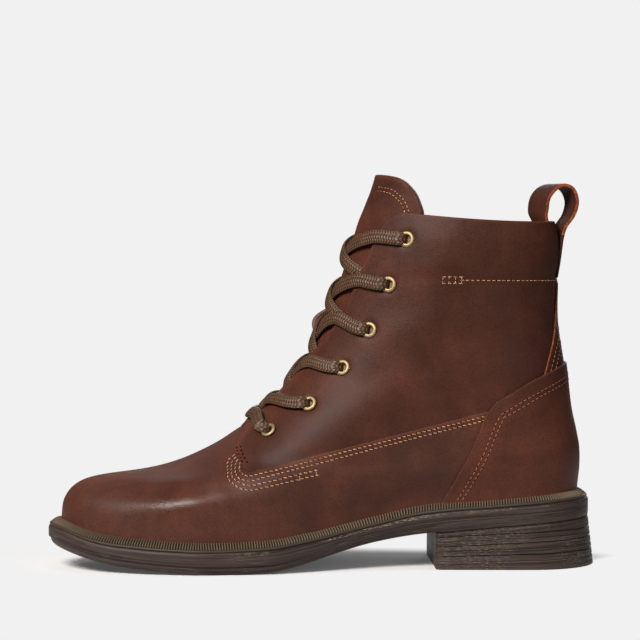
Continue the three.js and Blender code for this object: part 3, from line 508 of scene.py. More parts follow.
# %% [markdown]
# ## Sheets of leather
# A shoe is cut from flat pieces and each piece has an outline of its own. A panel is therefore
# a net stretched between four border lines on the form (a Coons patch), lifted off it, given
# its thickness, and rounded over at the cut. Cutting one big mesh with Booleans would be
# shorter, but would leave ragged triangles just where the light catches the edges.

# %% Border lines


def spline(rows, count=400):
    """A Catmull-Rom line through points, sampled evenly."""
    p = np.asarray(rows, float)
    p = np.concatenate([2 * p[:1] - p[1:2], p, 2 * p[-1:] - p[-2:-1]])
    way = np.linspace(0, len(p) - 3 - 1e-9, count)
    i = way.astype(int)
    t = (way - i)[:, None]
    a, b, c, d = p[i], p[i + 1], p[i + 2], p[i + 3]
    bend, sweep = 2 * a - 5 * b + 4 * c - d, 3 * b - a - 3 * c + d
    line = 0.5 * (2 * b + (c - a) * t + bend * t ** 2 + sweep * t ** 3)
    return resample(line, line, count)


def run_of(line):
    """How far along a line each of its points lies."""
    return np.concatenate([[0], np.cumsum(np.linalg.norm(np.diff(line, axis=0), axis=1))])


def resample(values, places, count):
    """Values at count even steps along a line of places."""
    run = run_of(places)
    want = np.linspace(0, run[-1], count)
    return np.stack([np.interp(want, run, values[:, k]) for k in range(values.shape[1])], -1)


def on_form(rows, side, back=False, count=300, inward=0.0):
    """(angle, ring) of a line given in side-view shares, moved inward mm to its right.

    side is 1 for the outer side and -1 for the inner; back counts angles round the heel.
    """
    line = spline(rows, count)
    flat = np.stack(side_xz(line[:, 0], line[:, 1]), -1)
    way = unit(np.gradient(flat, axis=0))
    flat = flat + np.stack([way[:, 1], -way[:, 0]], -1) * inward
    ring, angle = find(flat[:, 0], flat[:, 1])
    angle = angle * side
    return np.stack([angle % (2 * np.pi) if back else angle, ring], -1)


def level_line(ring, start, end, count=300):
    return np.stack([np.linspace(start, end, count), np.full(count, ring)], -1)


def flipped(line, middle=0.0):
    """A line's mirror image on the other side, about the toe (0) or the heel (pi)."""
    return np.stack([2 * middle - line[:, 0], line[:, 1]], -1)


def both_sides(line, middle=0.0):
    """A line of one side joined to its mirror image, over the toe (0) or round the heel (pi)."""
    other = flipped(line, middle)[::-1]
    return np.concatenate([line, other[1:]] if middle else [other[:-1], line])


def evenly(line, count):
    return resample(line, surface(line[:, 1], line[:, 0])[0], count)


def length_of(line):
    return float(run_of(surface(line[:, 1], line[:, 0])[0])[-1])


def stretched(bottom, top, left, right, step):
    """A net (angle, ring) between four border lines, about step mm apart."""
    cols = int(max(length_of(bottom), length_of(top)) / step) + 1
    rows = int(max(length_of(left), length_of(right)) / step) + 1
    b, t = evenly(bottom, cols), evenly(top, cols)
    l, r = evenly(left, rows), evenly(right, rows)
    u, v = np.linspace(0, 1, cols)[None, :, None], np.linspace(0, 1, rows)[:, None, None]
    corners = (1 - v) * ((1 - u) * b[0] + u * b[-1]) + v * ((1 - u) * t[0] + u * t[-1])
    net = (1 - v) * b[None] + v * t[None] + (1 - u) * l[:, None] + u * r[:, None] - corners
    for _ in range(240):
        beside = net[1:-1, :-2] + net[1:-1, 2:]
        net[1:-1, 1:-1] = (beside + net[:-2, 1:-1] + net[2:, 1:-1]) / 4
    return net


STEP = 1.25


def toe_net(half_top, side, count=300):
    """The net of a panel that runs over the toe or the throat from side to side."""
    half_top[0, 0] = 0.0
    bottom = level_line(side[0, 1], -side[0, 0], side[0, 0], count)
    return stretched(bottom, both_sides(half_top), flipped(side), side, STEP)


def heel_net(bottom, top, side, step=STEP):
    """The net of a panel that runs round the heel from side to side."""
    bottom[-1, 0] = top[-1, 0] = np.pi
    other = flipped(side, np.pi)
    return stretched(both_sides(bottom, np.pi), both_sides(top, np.pi), side, other, step)


def quads(grid):
    """Faces between the rows and columns of a grid of point numbers."""
    return np.stack([grid[:-1, :-1], grid[1:, :-1], grid[1:, 1:], grid[:-1, 1:]], -1).reshape(-1, 4)


def ring_faces(rings, count, start=0, closed=False):
    """Faces between rings of points; closed joins the last ring to the first."""
    number = start + np.arange(rings * count).reshape(rings, count)
    if closed:
        number = np.concatenate([number, number[:1]])
    after = np.roll(number, -1, 1)
    return np.stack([number[:-1], after[:-1], after[1:], number[1:]], -1).reshape(-1, 4)


def capped_tube(points):
    """Points and faces of a tube, each end closed by a fan round its middle."""
    steps, turns = points.shape[:2]
    k, none = np.arange(turns), np.full(turns, -1)
    after, top = (k + 1) % turns, (steps - 1) * turns
    low = np.stack([np.full(turns, steps * turns), after, k, none], -1)
    high = np.stack([np.full(turns, steps * turns + 1), top + k, top + after, none], -1)
    flat = np.concatenate([points.reshape(-1, 3), [points[0].mean(0), points[-1].mean(0)]])
    return flat, np.concatenate([ring_faces(steps, turns), low, high])


# %% Meshes from arrays
pieces = {}


def mesh_object(name, points, faces, materials, face_materials=None, painted=None, uv=None):
    """A smooth-shaded object from points in millimetres and faces of four corners."""
    faces = np.asarray(faces)
    mesh = bpy.data.meshes.new(name)
    mesh.vertices.add(len(points))
    mesh.vertices.foreach_set("co", (np.asarray(points) * MM).astype(np.float32).ravel())
    sizes = np.where(faces[:, 3] < 0, 3, 4)
    corners = faces.ravel()[faces.ravel() >= 0]
    mesh.loops.add(len(corners))
    mesh.loops.foreach_set("vertex_index", corners.astype(np.int32))
    mesh.polygons.add(len(faces))
    starts = np.concatenate([[0], np.cumsum(sizes)[:-1]])
    mesh.polygons.foreach_set("loop_start", starts.astype(np.int32))
    mesh.polygons.foreach_set("use_smooth", np.ones(len(faces), bool))
    for finish in materials:
        mesh.materials.append(finish.material)
    if face_materials is not None:
        mesh.polygons.foreach_set("material_index", np.asarray(face_materials, np.int32))
    for key, values in (painted or {}).items():
        layer = mesh.attributes.new(key, "FLOAT", "POINT")
        layer.data.foreach_set("value", np.asarray(values, np.float32).ravel())
    if uv is not None:
        layer = mesh.uv_layers.new(name="lengthwise")
        layer.data.foreach_set("uv", np.asarray(uv, np.float32)[corners].ravel())
    mesh.update(calc_edges=True)
    mesh.validate()
    made = bpy.data.objects.new(name, mesh)
    bpy.context.scene.collection.objects.link(made)
    pieces[name] = made
    return made


def finished(made, slot, *nodes):
    """Fixes a piece to the boot and hides the CAD nodes it stands for; its slot is not used."""
    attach(made, "root")
    if nodes:
        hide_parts(*nodes)
    print(made.name, "has", sum(len(p.vertices) - 2 for p in made.data.polygons), "triangles")


# %% A sheet with thickness and rounded cut edges
ARC = np.radians([0, 25, 50, 75, 90])
LAST_FACE_ARC = 2


def sheet(name, points, normals, thick, radius, materials, painted=None):
    """A closed sheet under a net of points: face, rounded border, cut wall and back."""
    rows, cols = points.shape[:2]
    number = np.arange(rows * cols).reshape(rows, cols)
    loop = np.concatenate([number[0, :-1], number[:-1, -1], number[-1, :0:-1], number[:0:-1, 0]])
    inner_i = np.clip(loop // cols, 1, rows - 2)
    inner_j = np.clip(loop % cols, 1, cols - 2)
    flat, flat_n = points.reshape(-1, 3), normals.reshape(-1, 3)
    at, up = flat[loop], flat_n[loop]
    inward = points[inner_i, inner_j] - at
    inward = unit(inward - (inward * up).sum(-1, keepdims=True) * up)
    vertices = [flat.copy()]
    vertices[0][loop] = at + inward * radius
    loops = [loop]
    start = rows * cols
    for turn in ARC[1:]:
        vertices.append(at + inward * radius * (1 - math.sin(turn)) - up * radius * (1 - math.cos(turn)))
        loops.append(start + np.arange(len(loop)))
        start += len(loop)
    vertices.append(at - up * thick)
    loops.append(start + np.arange(len(loop)))
    start += len(loop)
    back = np.zeros((rows, cols), int)
    back.reshape(-1)[loop] = loops[-1]
    back[1:-1, 1:-1] = start + np.arange((rows - 2) * (cols - 2)).reshape(rows - 2, cols - 2)
    vertices.append((points - normals * thick)[1:-1, 1:-1].reshape(-1, 3))

    faces, marks = [quads(number)], [np.zeros((rows - 1) * (cols - 1), int)]
    for k, (first, second) in enumerate(zip(loops[:-1], loops[1:])):
        faces.append(np.stack([first, np.roll(first, -1), np.roll(second, -1), second], -1))
        marks.append(np.full(len(loop), 1 if k >= LAST_FACE_ARC else 0))
    faces.append(quads(back)[:, ::-1])
    marks.append(np.full((rows - 1) * (cols - 1), 2))
    values = {}
    for key, grid in (painted or {}).items():
        flat_value = np.asarray(grid, float).reshape(-1)
        rest = [flat_value[loop]] * len(ARC) + [np.zeros((rows - 2) * (cols - 2))]
        values[key] = np.concatenate([flat_value] + rest)
    marks = np.minimum(np.concatenate(marks), len(materials) - 1)
    return mesh_object(name, np.concatenate(vertices), np.concatenate(faces), materials, marks, values)


# %% [markdown]
# ## Leather
# The upper is a waxed pull-up leather: a dark red-brown that turns warm rust wherever it is
# stretched, along ridges and at the edges, and cloudy umber in between. Its grain is fine and
# shallow, so the gloss is broad and soft. The face colour, the gloss and the bump share the
# same clouds of noise, and the stretch is painted on the points of each panel. The foot's
# leather is burnished: it reflects more, and on the flanks of the toe cap it is smoother. Cut
# edges are bare on the vamp, the stay and the loop, and inked dark everywhere else.

# %% Leather finishes


def leather_finish(name, warmth=0.0, gloss=0.11, rough=0.48):
    skin = Finish(name, {"Specular IOR Level": gloss})
    clouds = skin.noise(24.0, 4.0, 0.62, distortion=0.5)
    drift = skin.noise(75.0, 3.0, 0.6)
    mottle = skin.noise(360.0, 3.0, 0.65)
    flecks = skin.noise(1000.0, 2.0, 0.6)
    warm = skin.painted("warm") + (clouds - 0.5) * 1.1 + (drift - 0.5) * 0.4 + warmth
    base = skin.mix(tone(56, 31, 23), tone(86, 46, 32), skin.ramp(warm, -0.35, 0.4))
    base = skin.mix(base, tone(120, 61, 37), skin.ramp(warm, 0.35, 1.2))
    base = skin.shade(base, 0.66 + 0.3 * mottle + 0.38 * flecks)
    cells = {"Vector": skin.place(), "Scale": 950.0}
    pores = skin.node("ShaderNodeTexVoronoi", {"feature": "DISTANCE_TO_EDGE"}, cells)
    grain = skin.ramp(pores, 0.0, 0.2)
    base = skin.mix(tone(34, 18, 14), base, 0.62 + 0.38 * grain)
    skin.feed("Base Color", base)
    polish = skin.painted("polish")
    skin.feed("Roughness", rough - 0.22 * polish + 0.1 * (drift - 0.5) + 0.12 * (flecks - 0.5))
    skin.relief((drift, 0.3, 0.3), (mottle, 0.16, 0.6), (grain, 0.035, 0.6), (flecks, 0.04, 0.6))
    return skin


leather = leather_finish("pull-up leather")
foot_leather = leather_finish("burnished leather", -0.05, 0.17, 0.52)
loop_leather = leather_finish("loop leather", 0.1)

raw_edge, _ = speckled(
    "raw leather edge", {"Roughness": 0.8, "Specular IOR Level": 0.08}, (900.0, 3.0, 0.7),
    (84, 39, 23), (150, 76, 43), (0.3, 0.75), (0.15, 0.6),
)
inked_edge, _ = speckled(
    "inked leather edge", {"Roughness": 0.6}, (700.0, 3.0, 0.7),
    (48, 24, 17), (126, 61, 37), (0.4, 0.8), (0.15, 0.6),
)
lining, _ = speckled(
    "leather lining", {"Roughness": 0.72}, (500.0, 4.0, 0.65), (92, 62, 44), (124, 90, 66), bump=(0.08, 0.4)
)
finishes = (leather, foot_leather, loop_leather, raw_edge, inked_edge, lining)
print("leather finishes:", [finish.material.name for finish in finishes])

# %% [markdown]
# ## Where the panels lie
# Each outline is read off the photograph as shares of the upper's length from the toe and of
# its rise above the toe seam. The lower panel runs over the shaft's panel along the side seam,
# but at the foot of the throat the shaft's panel steps up over the lower one.

# %% Outlines and heights
THROAT_BASE = [
    (0.345, 0.288), (0.362, 0.262), (0.374, 0.225), (0.376, 0.2), (0.3745, 0.18), (0.38, 0.167),
]
SIDE_SEAM = [(0.38, 0.167), (0.43, 0.1885), (0.516, 0.2245), (0.66, 0.285), (0.8207, 0.3535)]
FRONT_EDGE = [
    (0.3665, 0.1575), (0.353, 0.166), (0.344, 0.195), (0.3395, 0.226), (0.342, 0.252), (0.350, 0.278),
    (0.3585, 0.2935), (0.374, 0.337), (0.412, 0.396), (0.453, 0.465), (0.503, 0.573), (0.544, 0.678),
    (0.588, 0.846), (0.606, 0.923), (0.6215, 0.964), (0.640, 0.989), (0.660, 1.001),
]
COLLAR_LINE = [(0.660, 1.001), (0.72, 0.99), (0.79, 0.98), (0.86, 0.974), (0.92, 0.972), (0.961, 0.973)]
HIDDEN_LINE = [
    (0.3665, 0.1575), (0.40, 0.152), (0.45, 0.168), (0.52, 0.196), (0.66, 0.256), (0.8, 0.316),
    (0.86, 0.345), (0.92, 0.40), (0.985, 0.45),
]
COUNTER_SIDE = [
    (0.7085, -0.03), (0.735, 0.055), (0.764, 0.148), (0.791, 0.235), (0.8116, 0.321),
    (0.8198, 0.3487), (0.8278, 0.364), (0.837, 0.3837),
]
COUNTER_TOP = [(0.837, 0.3837), (0.87, 0.415), (0.908, 0.4504), (0.945, 0.479), (0.978, 0.504)]
STAY_SIDE = [(0.925, 0.43), (0.948, 0.55), (0.957, 0.62), (0.963, 0.72), (0.9655, 0.79)]
# Soft creases: where, how deep in mm (less than 0 for a ridge), how broad in mm.
CREASES = [
    ([(0.30, 0.17), (0.335, 0.11), (0.36, 0.03)], 0.35, 9.0),
    ([(0.25, 0.15), (0.28, 0.09), (0.30, 0.02)], 0.25, 8.0),
    ([(0.46, 0.40), (0.53, 0.42), (0.60, 0.47), (0.66, 0.56)], 0.45, 12.0),
    ([(0.50, 0.50), (0.57, 0.52), (0.65, 0.60), (0.72, 0.70)], -0.3, 12.0),
    ([(0.62, 0.42), (0.70, 0.50), (0.80, 0.56), (0.90, 0.58)], 0.4, 14.0),
    ([(0.58, 0.70), (0.68, 0.69), (0.80, 0.72), (0.92, 0.71)], 0.3, 13.0),
    ([(0.20, 0.07), (0.33, 0.05), (0.45, 0.08)], -0.25, 14.0),
]


def tab_lift(points):
    """How far the shaft's panel stands off the form: more over the foot of the throat."""
    share, _ = shares(points)
    return TAB * (1 - smooth(0.352, 0.392, share)) - 0.15 * smooth(0.37, 0.42, share)


def grid_surface(net, lift=0.0):
    points, normals = surface(net[..., 1], net[..., 0])
    if callable(lift):
        lift = lift(points)
    if not np.isscalar(lift):
        lift = lift[..., None]
    return points + normals * lift, normals



def near_line(points, rows, width):
    """1 on a line given in side-view shares and 0 from width mm away, as seen from the side."""
    line = spline(rows, 160)
    best = np.full(points.shape[:-1], 1e9)
    for x, z in np.stack(side_xz(line[:, 0], line[:, 1]), -1):
        best = np.minimum(best, (points[..., 0] - x) ** 2 + (points[..., 2] - z) ** 2)
    return 1 - smooth(0, width, np.sqrt(best))


def creases(points):
    total = np.zeros(points.shape[:-1])
    for rows, depth, width in CREASES:
        total -= depth * near_line(points, rows, width)
    return total


# %% [markdown]
# ## Eyelets
# Six brass eyelets a side are punched through the facing. They are seated first, because the
# leather dips under each flange and the laces run to them.

# %% Seats of the eyelets
seats = {}
for number, (ex, ez) in enumerate(EYELETS):
    for side in (1, -1):
        ring, angle = find(*side_xz(ex, ez))
        seats[number, side] = (float(ring), float(angle) * side)


def seat_frame(number, side, lift=0.0):
    ring, angle = seats[number, side]
    point, normal = surface(np.array([ring]), np.array([angle]))
    return point[0] + normal[0] * lift, normal[0]


def eyelet_dips(points):
    """How far the leather goes down round and inside the eyelets."""
    down = np.zeros(points.shape[:-1])
    for number, side in seats:
        centre, _ = seat_frame(number, side)
        far = np.linalg.norm(points - centre, axis=-1)
        down -= 3.6 * (1 - smooth(2.5, 3.7, far)) + 0.35 * (1 - smooth(4.0, 6.5, far))
    return down


def quarter_lift(points):
    share, high = shares(points)
    puff = 1.3 * smooth(0.775, 0.84, high) * (1 - smooth(0.9, 1.0, high)) * smooth(0.60, 0.76, share)
    return tab_lift(points) + puff + creases(points)


def vamp_lift(points):
    share, high = shares(points)
    tucked = 0.8 * smooth(0.33, 0.36, share) * smooth(0.15, 0.19, high)
    return PANEL - tucked + creases(points)


# %% [markdown]
# ## Lower panel
# Vamp and wings are one piece of leather from the welt up, wrapped round the toe and running
# back under the heel overlay on both sides. Its upper border is the side seam with its bright
# cut edge.

# %% The lower panel
HIDDEN_RING = -0.9


def warmth(points, *borders):
    """How far the leather is stretched: over the toe, on ridges and close to its borders."""
    share, high = shares(points)
    toe = 0.05 * (1 - smooth(0.02, 0.3, share + 0.15 * high))
    off_ridge = np.abs(points[..., 1] - body_spine(points[..., 0], points[..., 2]))
    ridge = 0.15 * (1 - smooth(2, 16, off_ridge)) * (share < 0.6)
    heel = 0.2 * smooth(0.86, 1.0, share) * (1 - smooth(0.35, 0.5, high))
    return toe + ridge + heel + sum(0.25 * near_line(points, rows, 2.6) for rows in borders)


def panel(name, node, laid, thick, radius, finishes, **painted):
    """A piece of lined leather; laid holds its net of points and their normals."""
    finished(sheet(name, *laid, thick, radius, [*finishes, lining], painted), "leather", node)


def to_welt(line):
    """A line cut off at the seam with the welt and carried straight down behind it."""
    line = line[line[:, 1] > 0.02]
    return np.concatenate([[[line[0, 0], HIDDEN_RING]], line])


WING_TOP = (0.84, 0.3615)
WING_END = [(0.735, -0.04), (0.752, 0.02), (0.782, 0.11), (0.812, 0.216), (0.834, 0.33), WING_TOP]
wing_end = to_welt(on_form(WING_END, 1))
seam_line = on_form(SIDE_SEAM[:-1] + [WING_TOP], 1)
half_top = np.concatenate([on_form(THROAT_BASE, 1, count=120)[:-1], seam_line])
wing_end[-1] = half_top[-1]
vamp = grid_surface(toe_net(half_top, wing_end), vamp_lift)
# Burnished by hand on both flanks of the toe cap: its middle and its reach in mm.
(glow_x, glow_z), (glow_long, glow_high) = (-74, 36), (19, 17)
polish = np.exp(
    -(((vamp[0][..., 0] - glow_x) / glow_long) ** 2) - ((vamp[0][..., 2] - glow_z) / glow_high) ** 2
)
vamp_paint = {"warm": warmth(vamp[0], SIDE_SEAM), "polish": polish}
panel("lower_panel", "upper", vamp, 1.5, 0.3, [foot_leather, raw_edge], **vamp_paint)

# %% [markdown]
# ## Shaft panel
# The two quarters are joined at the back, so they are one net from eyestay to eyestay round the
# heel. The collar is folded over a thin pad, which puffs the band above the single row of
# stitches.

# %% The shaft panel
CURL_HEIGHT, CURL_REACH = 0.64, 0.055
front_edge = on_form(FRONT_EDGE, 1, True)
quarter_net = heel_net(on_form(HIDDEN_LINE, 1, True), on_form(COLLAR_LINE, 1, True), front_edge)
flat_points, _ = grid_surface(quarter_net)
quarter_height = quarter_lift(flat_points) + eyelet_dips(flat_points)
quarter_points, quarter_normals = grid_surface(quarter_net, quarter_height)
# The outer facing curls forward between its third and fourth eyelet.
near_front = np.linalg.norm(quarter_points - quarter_points[:, :1], axis=-1)
level = shares(quarter_points)[1]
curl = np.exp(-(((level - CURL_HEIGHT) / CURL_REACH) ** 2)) * (1 - smooth(0, 12, near_front))
quarter_points[..., 0] -= 10.5 * curl
quarter_points[..., 2] += 1.5 * curl
quarter_warm = warmth(quarter_points, FRONT_EDGE, COLLAR_LINE) - 0.12
quarter = (quarter_points, quarter_normals)
panel("shaft_panel", "upper", quarter, WALL, 0.6, [leather, inked_edge], warm=quarter_warm)

# %% [markdown]
# ## Heel overlay and back stay
# A shaped piece goes round the back of the heel, over everything else, and a narrow stay covers
# the back seam above it.

# %% The heel overlay
COUNTER_LIFT = 2.2
counter_side = to_welt(on_form(COUNTER_SIDE, 1, True))
counter_bottom = level_line(HIDDEN_RING, counter_side[0, 0], np.pi)
counter_net = heel_net(counter_bottom, on_form(COUNTER_TOP, 1, True), counter_side)
counter = grid_surface(counter_net, COUNTER_LIFT)
panel("heel_overlay", "heel_counter", counter, COUNTER, 0.45, [leather, inked_edge], warm=warmth(counter[0]))

# %% The back stay
stay_side = on_form(STAY_SIDE, 1, True)
stay_bottom, stay_top = (level_line(stay_side[k, 1], stay_side[k, 0], np.pi, 60) for k in (0, -1))


def stay_lift(points):
    return 0.95 - 0.9 * smooth(0.755, 0.79, shares(points)[1]) + creases(points)


stay = grid_surface(heel_net(stay_bottom, stay_top, stay_side, 1.0), stay_lift)
stay_warm = warmth(stay[0], STAY_SIDE) - 0.1
panel("back_stay", "upper", stay, 0.9, 0.35, [leather, raw_edge], warm=stay_warm)

# %% [markdown]
# ## Tongue
# Behind the laces lies a padded tongue. It is a sheet of its own, deeper than the facing, and
# stands above the collar with a rounded top.

# %% The tongue
TONGUE_SIDE = [
    (0.34, 0.2), (0.39, 0.24), (0.46, 0.36), (0.545, 0.5), (0.605, 0.68), (0.645, 0.86),
    (0.685, 0.95), (0.694, 1.0), (0.6905, 1.035), (0.683, 1.062), (0.672, 1.084),
]
TONGUE_TOP = [
    (0.672, 1.084), (0.662, 1.099), (0.65, 1.111), (0.637, 1.118), (0.622, 1.1225), (0.612, 1.124),
]


def tongue_lift(points):
    _, high = shares(points)
    puff = 0.5 * smooth(1.0, 1.05, high) * (1 - smooth(1.07, 1.13, high))
    return -2.35 + puff + 2.1 * smooth(0.9, 1.04, high) + 0.3 * creases(points)


tongue_net = toe_net(on_form(TONGUE_TOP, 1)[::-1], on_form(TONGUE_SIDE, 1), 80)
tongue = grid_surface(tongue_net, tongue_lift)
panel("padded_tongue", "tongue", tongue, 2.9, 1.1, [leather, inked_edge], warm=warmth(tongue[0], TONGUE_TOP))

# %% [markdown]
# ## Lining and footbed
# Inside, a thin lining follows the whole wall and a footbed lies on the sole. They show only
# through the collar, but a boot that is dark and hollow inside looks real.

# %% The lining
LINING_FRONT = [
    (0.30, 0.0), (0.33, 0.12), (0.352, 0.24), (0.366, 0.292), (0.384, 0.334), (0.423, 0.391), (0.465, 0.46),
    (0.516, 0.569), (0.557, 0.674), (0.601, 0.843), (0.62, 0.92), (0.635, 0.955), (0.667, 0.99),
]
LINING_TOP = [(0.667, 0.99), (0.72, 0.979), (0.79, 0.969), (0.86, 0.963), (0.92, 0.961), (0.961, 0.962)]
lining_front = on_form(LINING_FRONT, 1, True)
lining_bottom = level_line(lining_front[0, 1], lining_front[0, 0], np.pi)
lining_net = heel_net(lining_bottom, on_form(LINING_TOP, 1, True), lining_front, 2.2)
lining_laid = grid_surface(lining_net, -WALL + 0.1)
finished(sheet("inner_lining", *lining_laid, 0.5, 0.2, [lining]), "leather", "upper")

# %% The footbed
BED_POINTS, BED_ROWS = 240, 14
BED_TOP, BED_UNDER = 3.2, 0.35


def loop_fill(outline, middle, rows, lift):
    """Rings of points that close an outline towards a middle line, lifted by a function."""
    shares_in = np.linspace(0, 1, rows)[:, None, None]
    points = outline[None] * (1 - shares_in) + middle[None] * shares_in
    points[..., 2] = lift(points)
    return points


def middle_of(outline, low, high):
    """The middle line that an outline closes to, between two places along it."""
    middle = outline.copy()
    middle[:, 0] = np.clip(outline[:, 0], low, high)
    middle[:, 1] = spine(middle[:, 0])
    return middle


bed_edge, bed_normal = surface(np.zeros(BED_POINTS), np.linspace(0, 2 * np.pi, BED_POINTS, endpoint=False))
bed_edge = bed_edge - unit(bed_normal * [1, 1, 0]) * (WALL + 0.9)
bed_middle = middle_of(bed_edge, TOE_X + 42, HEEL_X - 34)
bed_top, bed_low = (
    loop_fill(bed_edge, bed_middle, BED_ROWS, lambda p, up=up: sole_top_z(p[..., 0]) + up)
    for up in (BED_TOP, BED_UNDER)
)
bed_top[0, :, 2] -= 0.6
bed = np.concatenate([bed_low[::-1], bed_top[0:1], bed_top])
footbed = mesh_object("footbed", bed.reshape(-1, 3), ring_faces(len(bed), BED_POINTS), [lining])
finished(footbed, "footbed", "insole")

# %% [markdown]
# ## Sole, welt and heel
# The sole is a dark rubber unit whose side is moulded like stacked, weathered leather: long
# uneven streaks, a step half way down and pale rubbed specks under the welt. Relief that breaks
# the outline, such as the step, the heel's grooves and the welt's ribs, is real geometry. The
# fine streaks are bump and colour. The heel's grooves and the gaps between the welt's ribs are
# also painted dark, as painted shade.

# %% Rubber and welt finishes


def rubber_finish(name):
    rubber = Finish(name, {"Specular IOR Level": 0.16})
    x, y, _ = rubber.split(rubber.place())
    up = rubber.painted("level")

    def streak(along, high):
        return rubber.node("ShaderNodeCombineXYZ", None, {0: x * along, 1: y * along, 2: up * high})

    worn = rubber.noise(1.0, 3.0, 0.6, streak(16.0, 420.0))
    lines = rubber.noise(1.0, 3.0, 0.55, streak(13.0, 1500.0))
    scratch = rubber.noise(1.0, 3.0, 0.6, streak(70.0, 2900.0))
    specks = rubber.noise(1.0, 2.0, 0.5, streak(500.0, 3600.0))
    patch = rubber.noise(34.0, 2.0, 0.5)
    dark = rubber.ramp(lines, 0.545, 0.585)
    base = rubber.mix(tone(46, 36, 33), tone(60, 49, 44), rubber.ramp(worn, 0.35, 0.65))
    base = rubber.mix(base, tone(28, 21, 19), dark * 0.85)
    scuffed = rubber.ramp(scratch, 0.6, 0.68) * rubber.ramp(patch, 0.35, 0.6) * 0.6
    base = rubber.mix(base, tone(108, 94, 84), scuffed)
    # Painted shade: the heel's grooves are painted darker inside, where shade falls in them.
    base = rubber.shade(base, 1 - 0.7 * rubber.painted("groove_shade"))
    rubbed = rubber.ramp(specks, 0.56, 0.64) * rubber.painted("rubbed") * rubber.ramp(patch, 0.4, 0.6)
    rubber.feed("Base Color", rubber.mix(base, tone(160, 144, 124), rubbed * 0.8))
    rubber.feed("Roughness", 0.5 + 0.2 * (worn - 0.5) + 0.1 * rubbed)
    rubber.relief((worn, 0.2, 0.5), (dark, -0.12, 0.8), (scratch, 0.1, 0.8))
    return rubber


rubber = rubber_finish("moulded rubber")
welt_finish = Finish("welt", {"Specular IOR Level": 0.2})
welt_wear = welt_finish.noise(160.0, 3.0, 0.6)
# The welt's colour is painted shade: near black in the gaps between the ribs, lighter on their crests.
welt_base = welt_finish.mix(tone(14, 10, 8), tone(90, 76, 60), welt_finish.painted("rib_shade"))
welt_finish.feed("Base Color", welt_finish.shade(welt_base, 0.85 + 0.3 * welt_wear))
welt_finish.feed("Roughness", 0.5 + 0.2 * (welt_wear - 0.5))
welt_finish.relief((welt_finish.noise(1400.0, 2.0, 0.6), 0.05, 0.5))

# %% The outline of the sole


def sole_outline(count, inset=0.0, across=1.0):
    """Even points along the sole's edge, and the way out of it at each."""
    angle = np.linspace(0, 2 * np.pi, 2400)
    share = (1 - np.cos(angle)) / 2
    x = -HALF_LENGTH + inset + (OUTSOLE_BACK + HALF_LENGTH - 2 * inset) * share
    y = spine(x) + np.sign(np.sin(angle)) * sole_half(x, inset, OUTSOLE_BACK)
    line = np.stack([x, y], -1)
    line[-1] = line[0]
    even = resample(line, line * [1, across], count + 1)[:-1]
    even = brushed(even, 3.0 * count / 1000, 0, True)
    even[:, 0] += 0.9 * smooth(90, 130, even[:, 0]) + 0.8 * (1 - smooth(-135, -115, even[:, 0]))
    tangent = np.roll(even, -1, 0) - np.roll(even, 1, 0)
    out = unit(np.stack([-tangent[:, 1], tangent[:, 0]], -1))
    return even, out


edge, edge_out = sole_outline(900)
print("edge of the sole:", round(float(np.linalg.norm(np.diff(edge, axis=0), axis=1).sum())), "mm")

# %% [markdown]
# ## Floor
# The paper floor is blown out to the backdrop's own even grey and only the tight shadow under the
# sole is left, as in many catalogue pictures. A floor that simply reflects would fall off in
# brightness, so it is matt paper under the boot and turns into the even grey just outside the
# outline of the sole.

# %% Floor
near_x, near_y = np.linspace(-0.156, 0.156, 209), np.linspace(-0.078, 0.078, 105)
floor_x = np.concatenate([[-0.4, -0.25], near_x, [0.25, 0.4]])
floor_y = np.concatenate([[-0.3, -0.15], near_y, [0.15, 0.3]])
floor_grid = np.stack(np.meshgrid(floor_x, floor_y, indexing="ij"), -1)
grid_mm = floor_grid / MM
apart = np.full(grid_mm.shape[:2], 1e9)
for point in edge[::4]:
    apart = np.minimum(apart, np.hypot(grid_mm[..., 0] - point[0], grid_mm[..., 1] - point[1]))
within = np.abs(grid_mm[..., 1] - spine(grid_mm[..., 0])) < sole_half(grid_mm[..., 0], 0, OUTSOLE_BACK)
within &= np.abs(grid_mm[..., 0]) < HALF_LENGTH
apart = np.where(within, -apart, apart)
behind = smooth(0, 30, grid_mm[..., 1] - spine(grid_mm[..., 0]))
past_toe = 1 - smooth(-138, -104, grid_mm[..., 0])
even_grey = 0.08 + 0.92 * smooth(-1.5, 3.5 + 26 * behind + 12 * past_toe, apart)
floor_points = np.concatenate([grid_mm, 0 * grid_mm[..., :1]], -1)
floor_faces = quads(np.arange(apart.size).reshape(apart.shape))
matt = {"Roughness": 0.9, "Specular IOR Level": 0.0, "Base Color": (0.7, 0.7, 0.7, 1)}
paper = Finish("studio paper", matt)
glow = paper.node("ShaderNodeEmission", None, {"Color": BACKDROP})
lit = Link(paper, paper.shader.outputs[0])
blend = paper.node("ShaderNodeMixShader", None, {0: paper.painted("even_grey"), 1: lit, 2: glow})
paper.tree.links.new(blend.socket, paper.tree.nodes["Material Output"].inputs["Surface"])
floor = mesh_object(
    "floor", floor_points.reshape(-1, 3), floor_faces, [paper], None, {"even_grey": even_grey.ravel()}
)

# %% The outsole
# up: share of the sole's thickness, inset in mm, and how much of the inset is left at the heel.
WALL_ROWS = [
    (0.0, 3.4, 0.1), (0.03, 2.7, 0.09), (0.09, 1.9, 0.06), (0.17, 1.35, 0.02), (0.25, 1.15, 0),
    (0.32, 1.1, 0),
    (0.345, 1.0, 0), (0.365, 0.55, 0), (0.385, 0.12, 0), (0.42, 0.0, 0), (0.48, 0.05, 0), (0.54, 0.0, 0),
    (0.62, 0.0, 0), (0.7, 0.0, 0), (0.78, 0.02, 0), (0.86, 0.08, 1), (0.92, 0.25, 1), (0.97, 0.6, 1),
    (1.0, 1.2, 1),
]
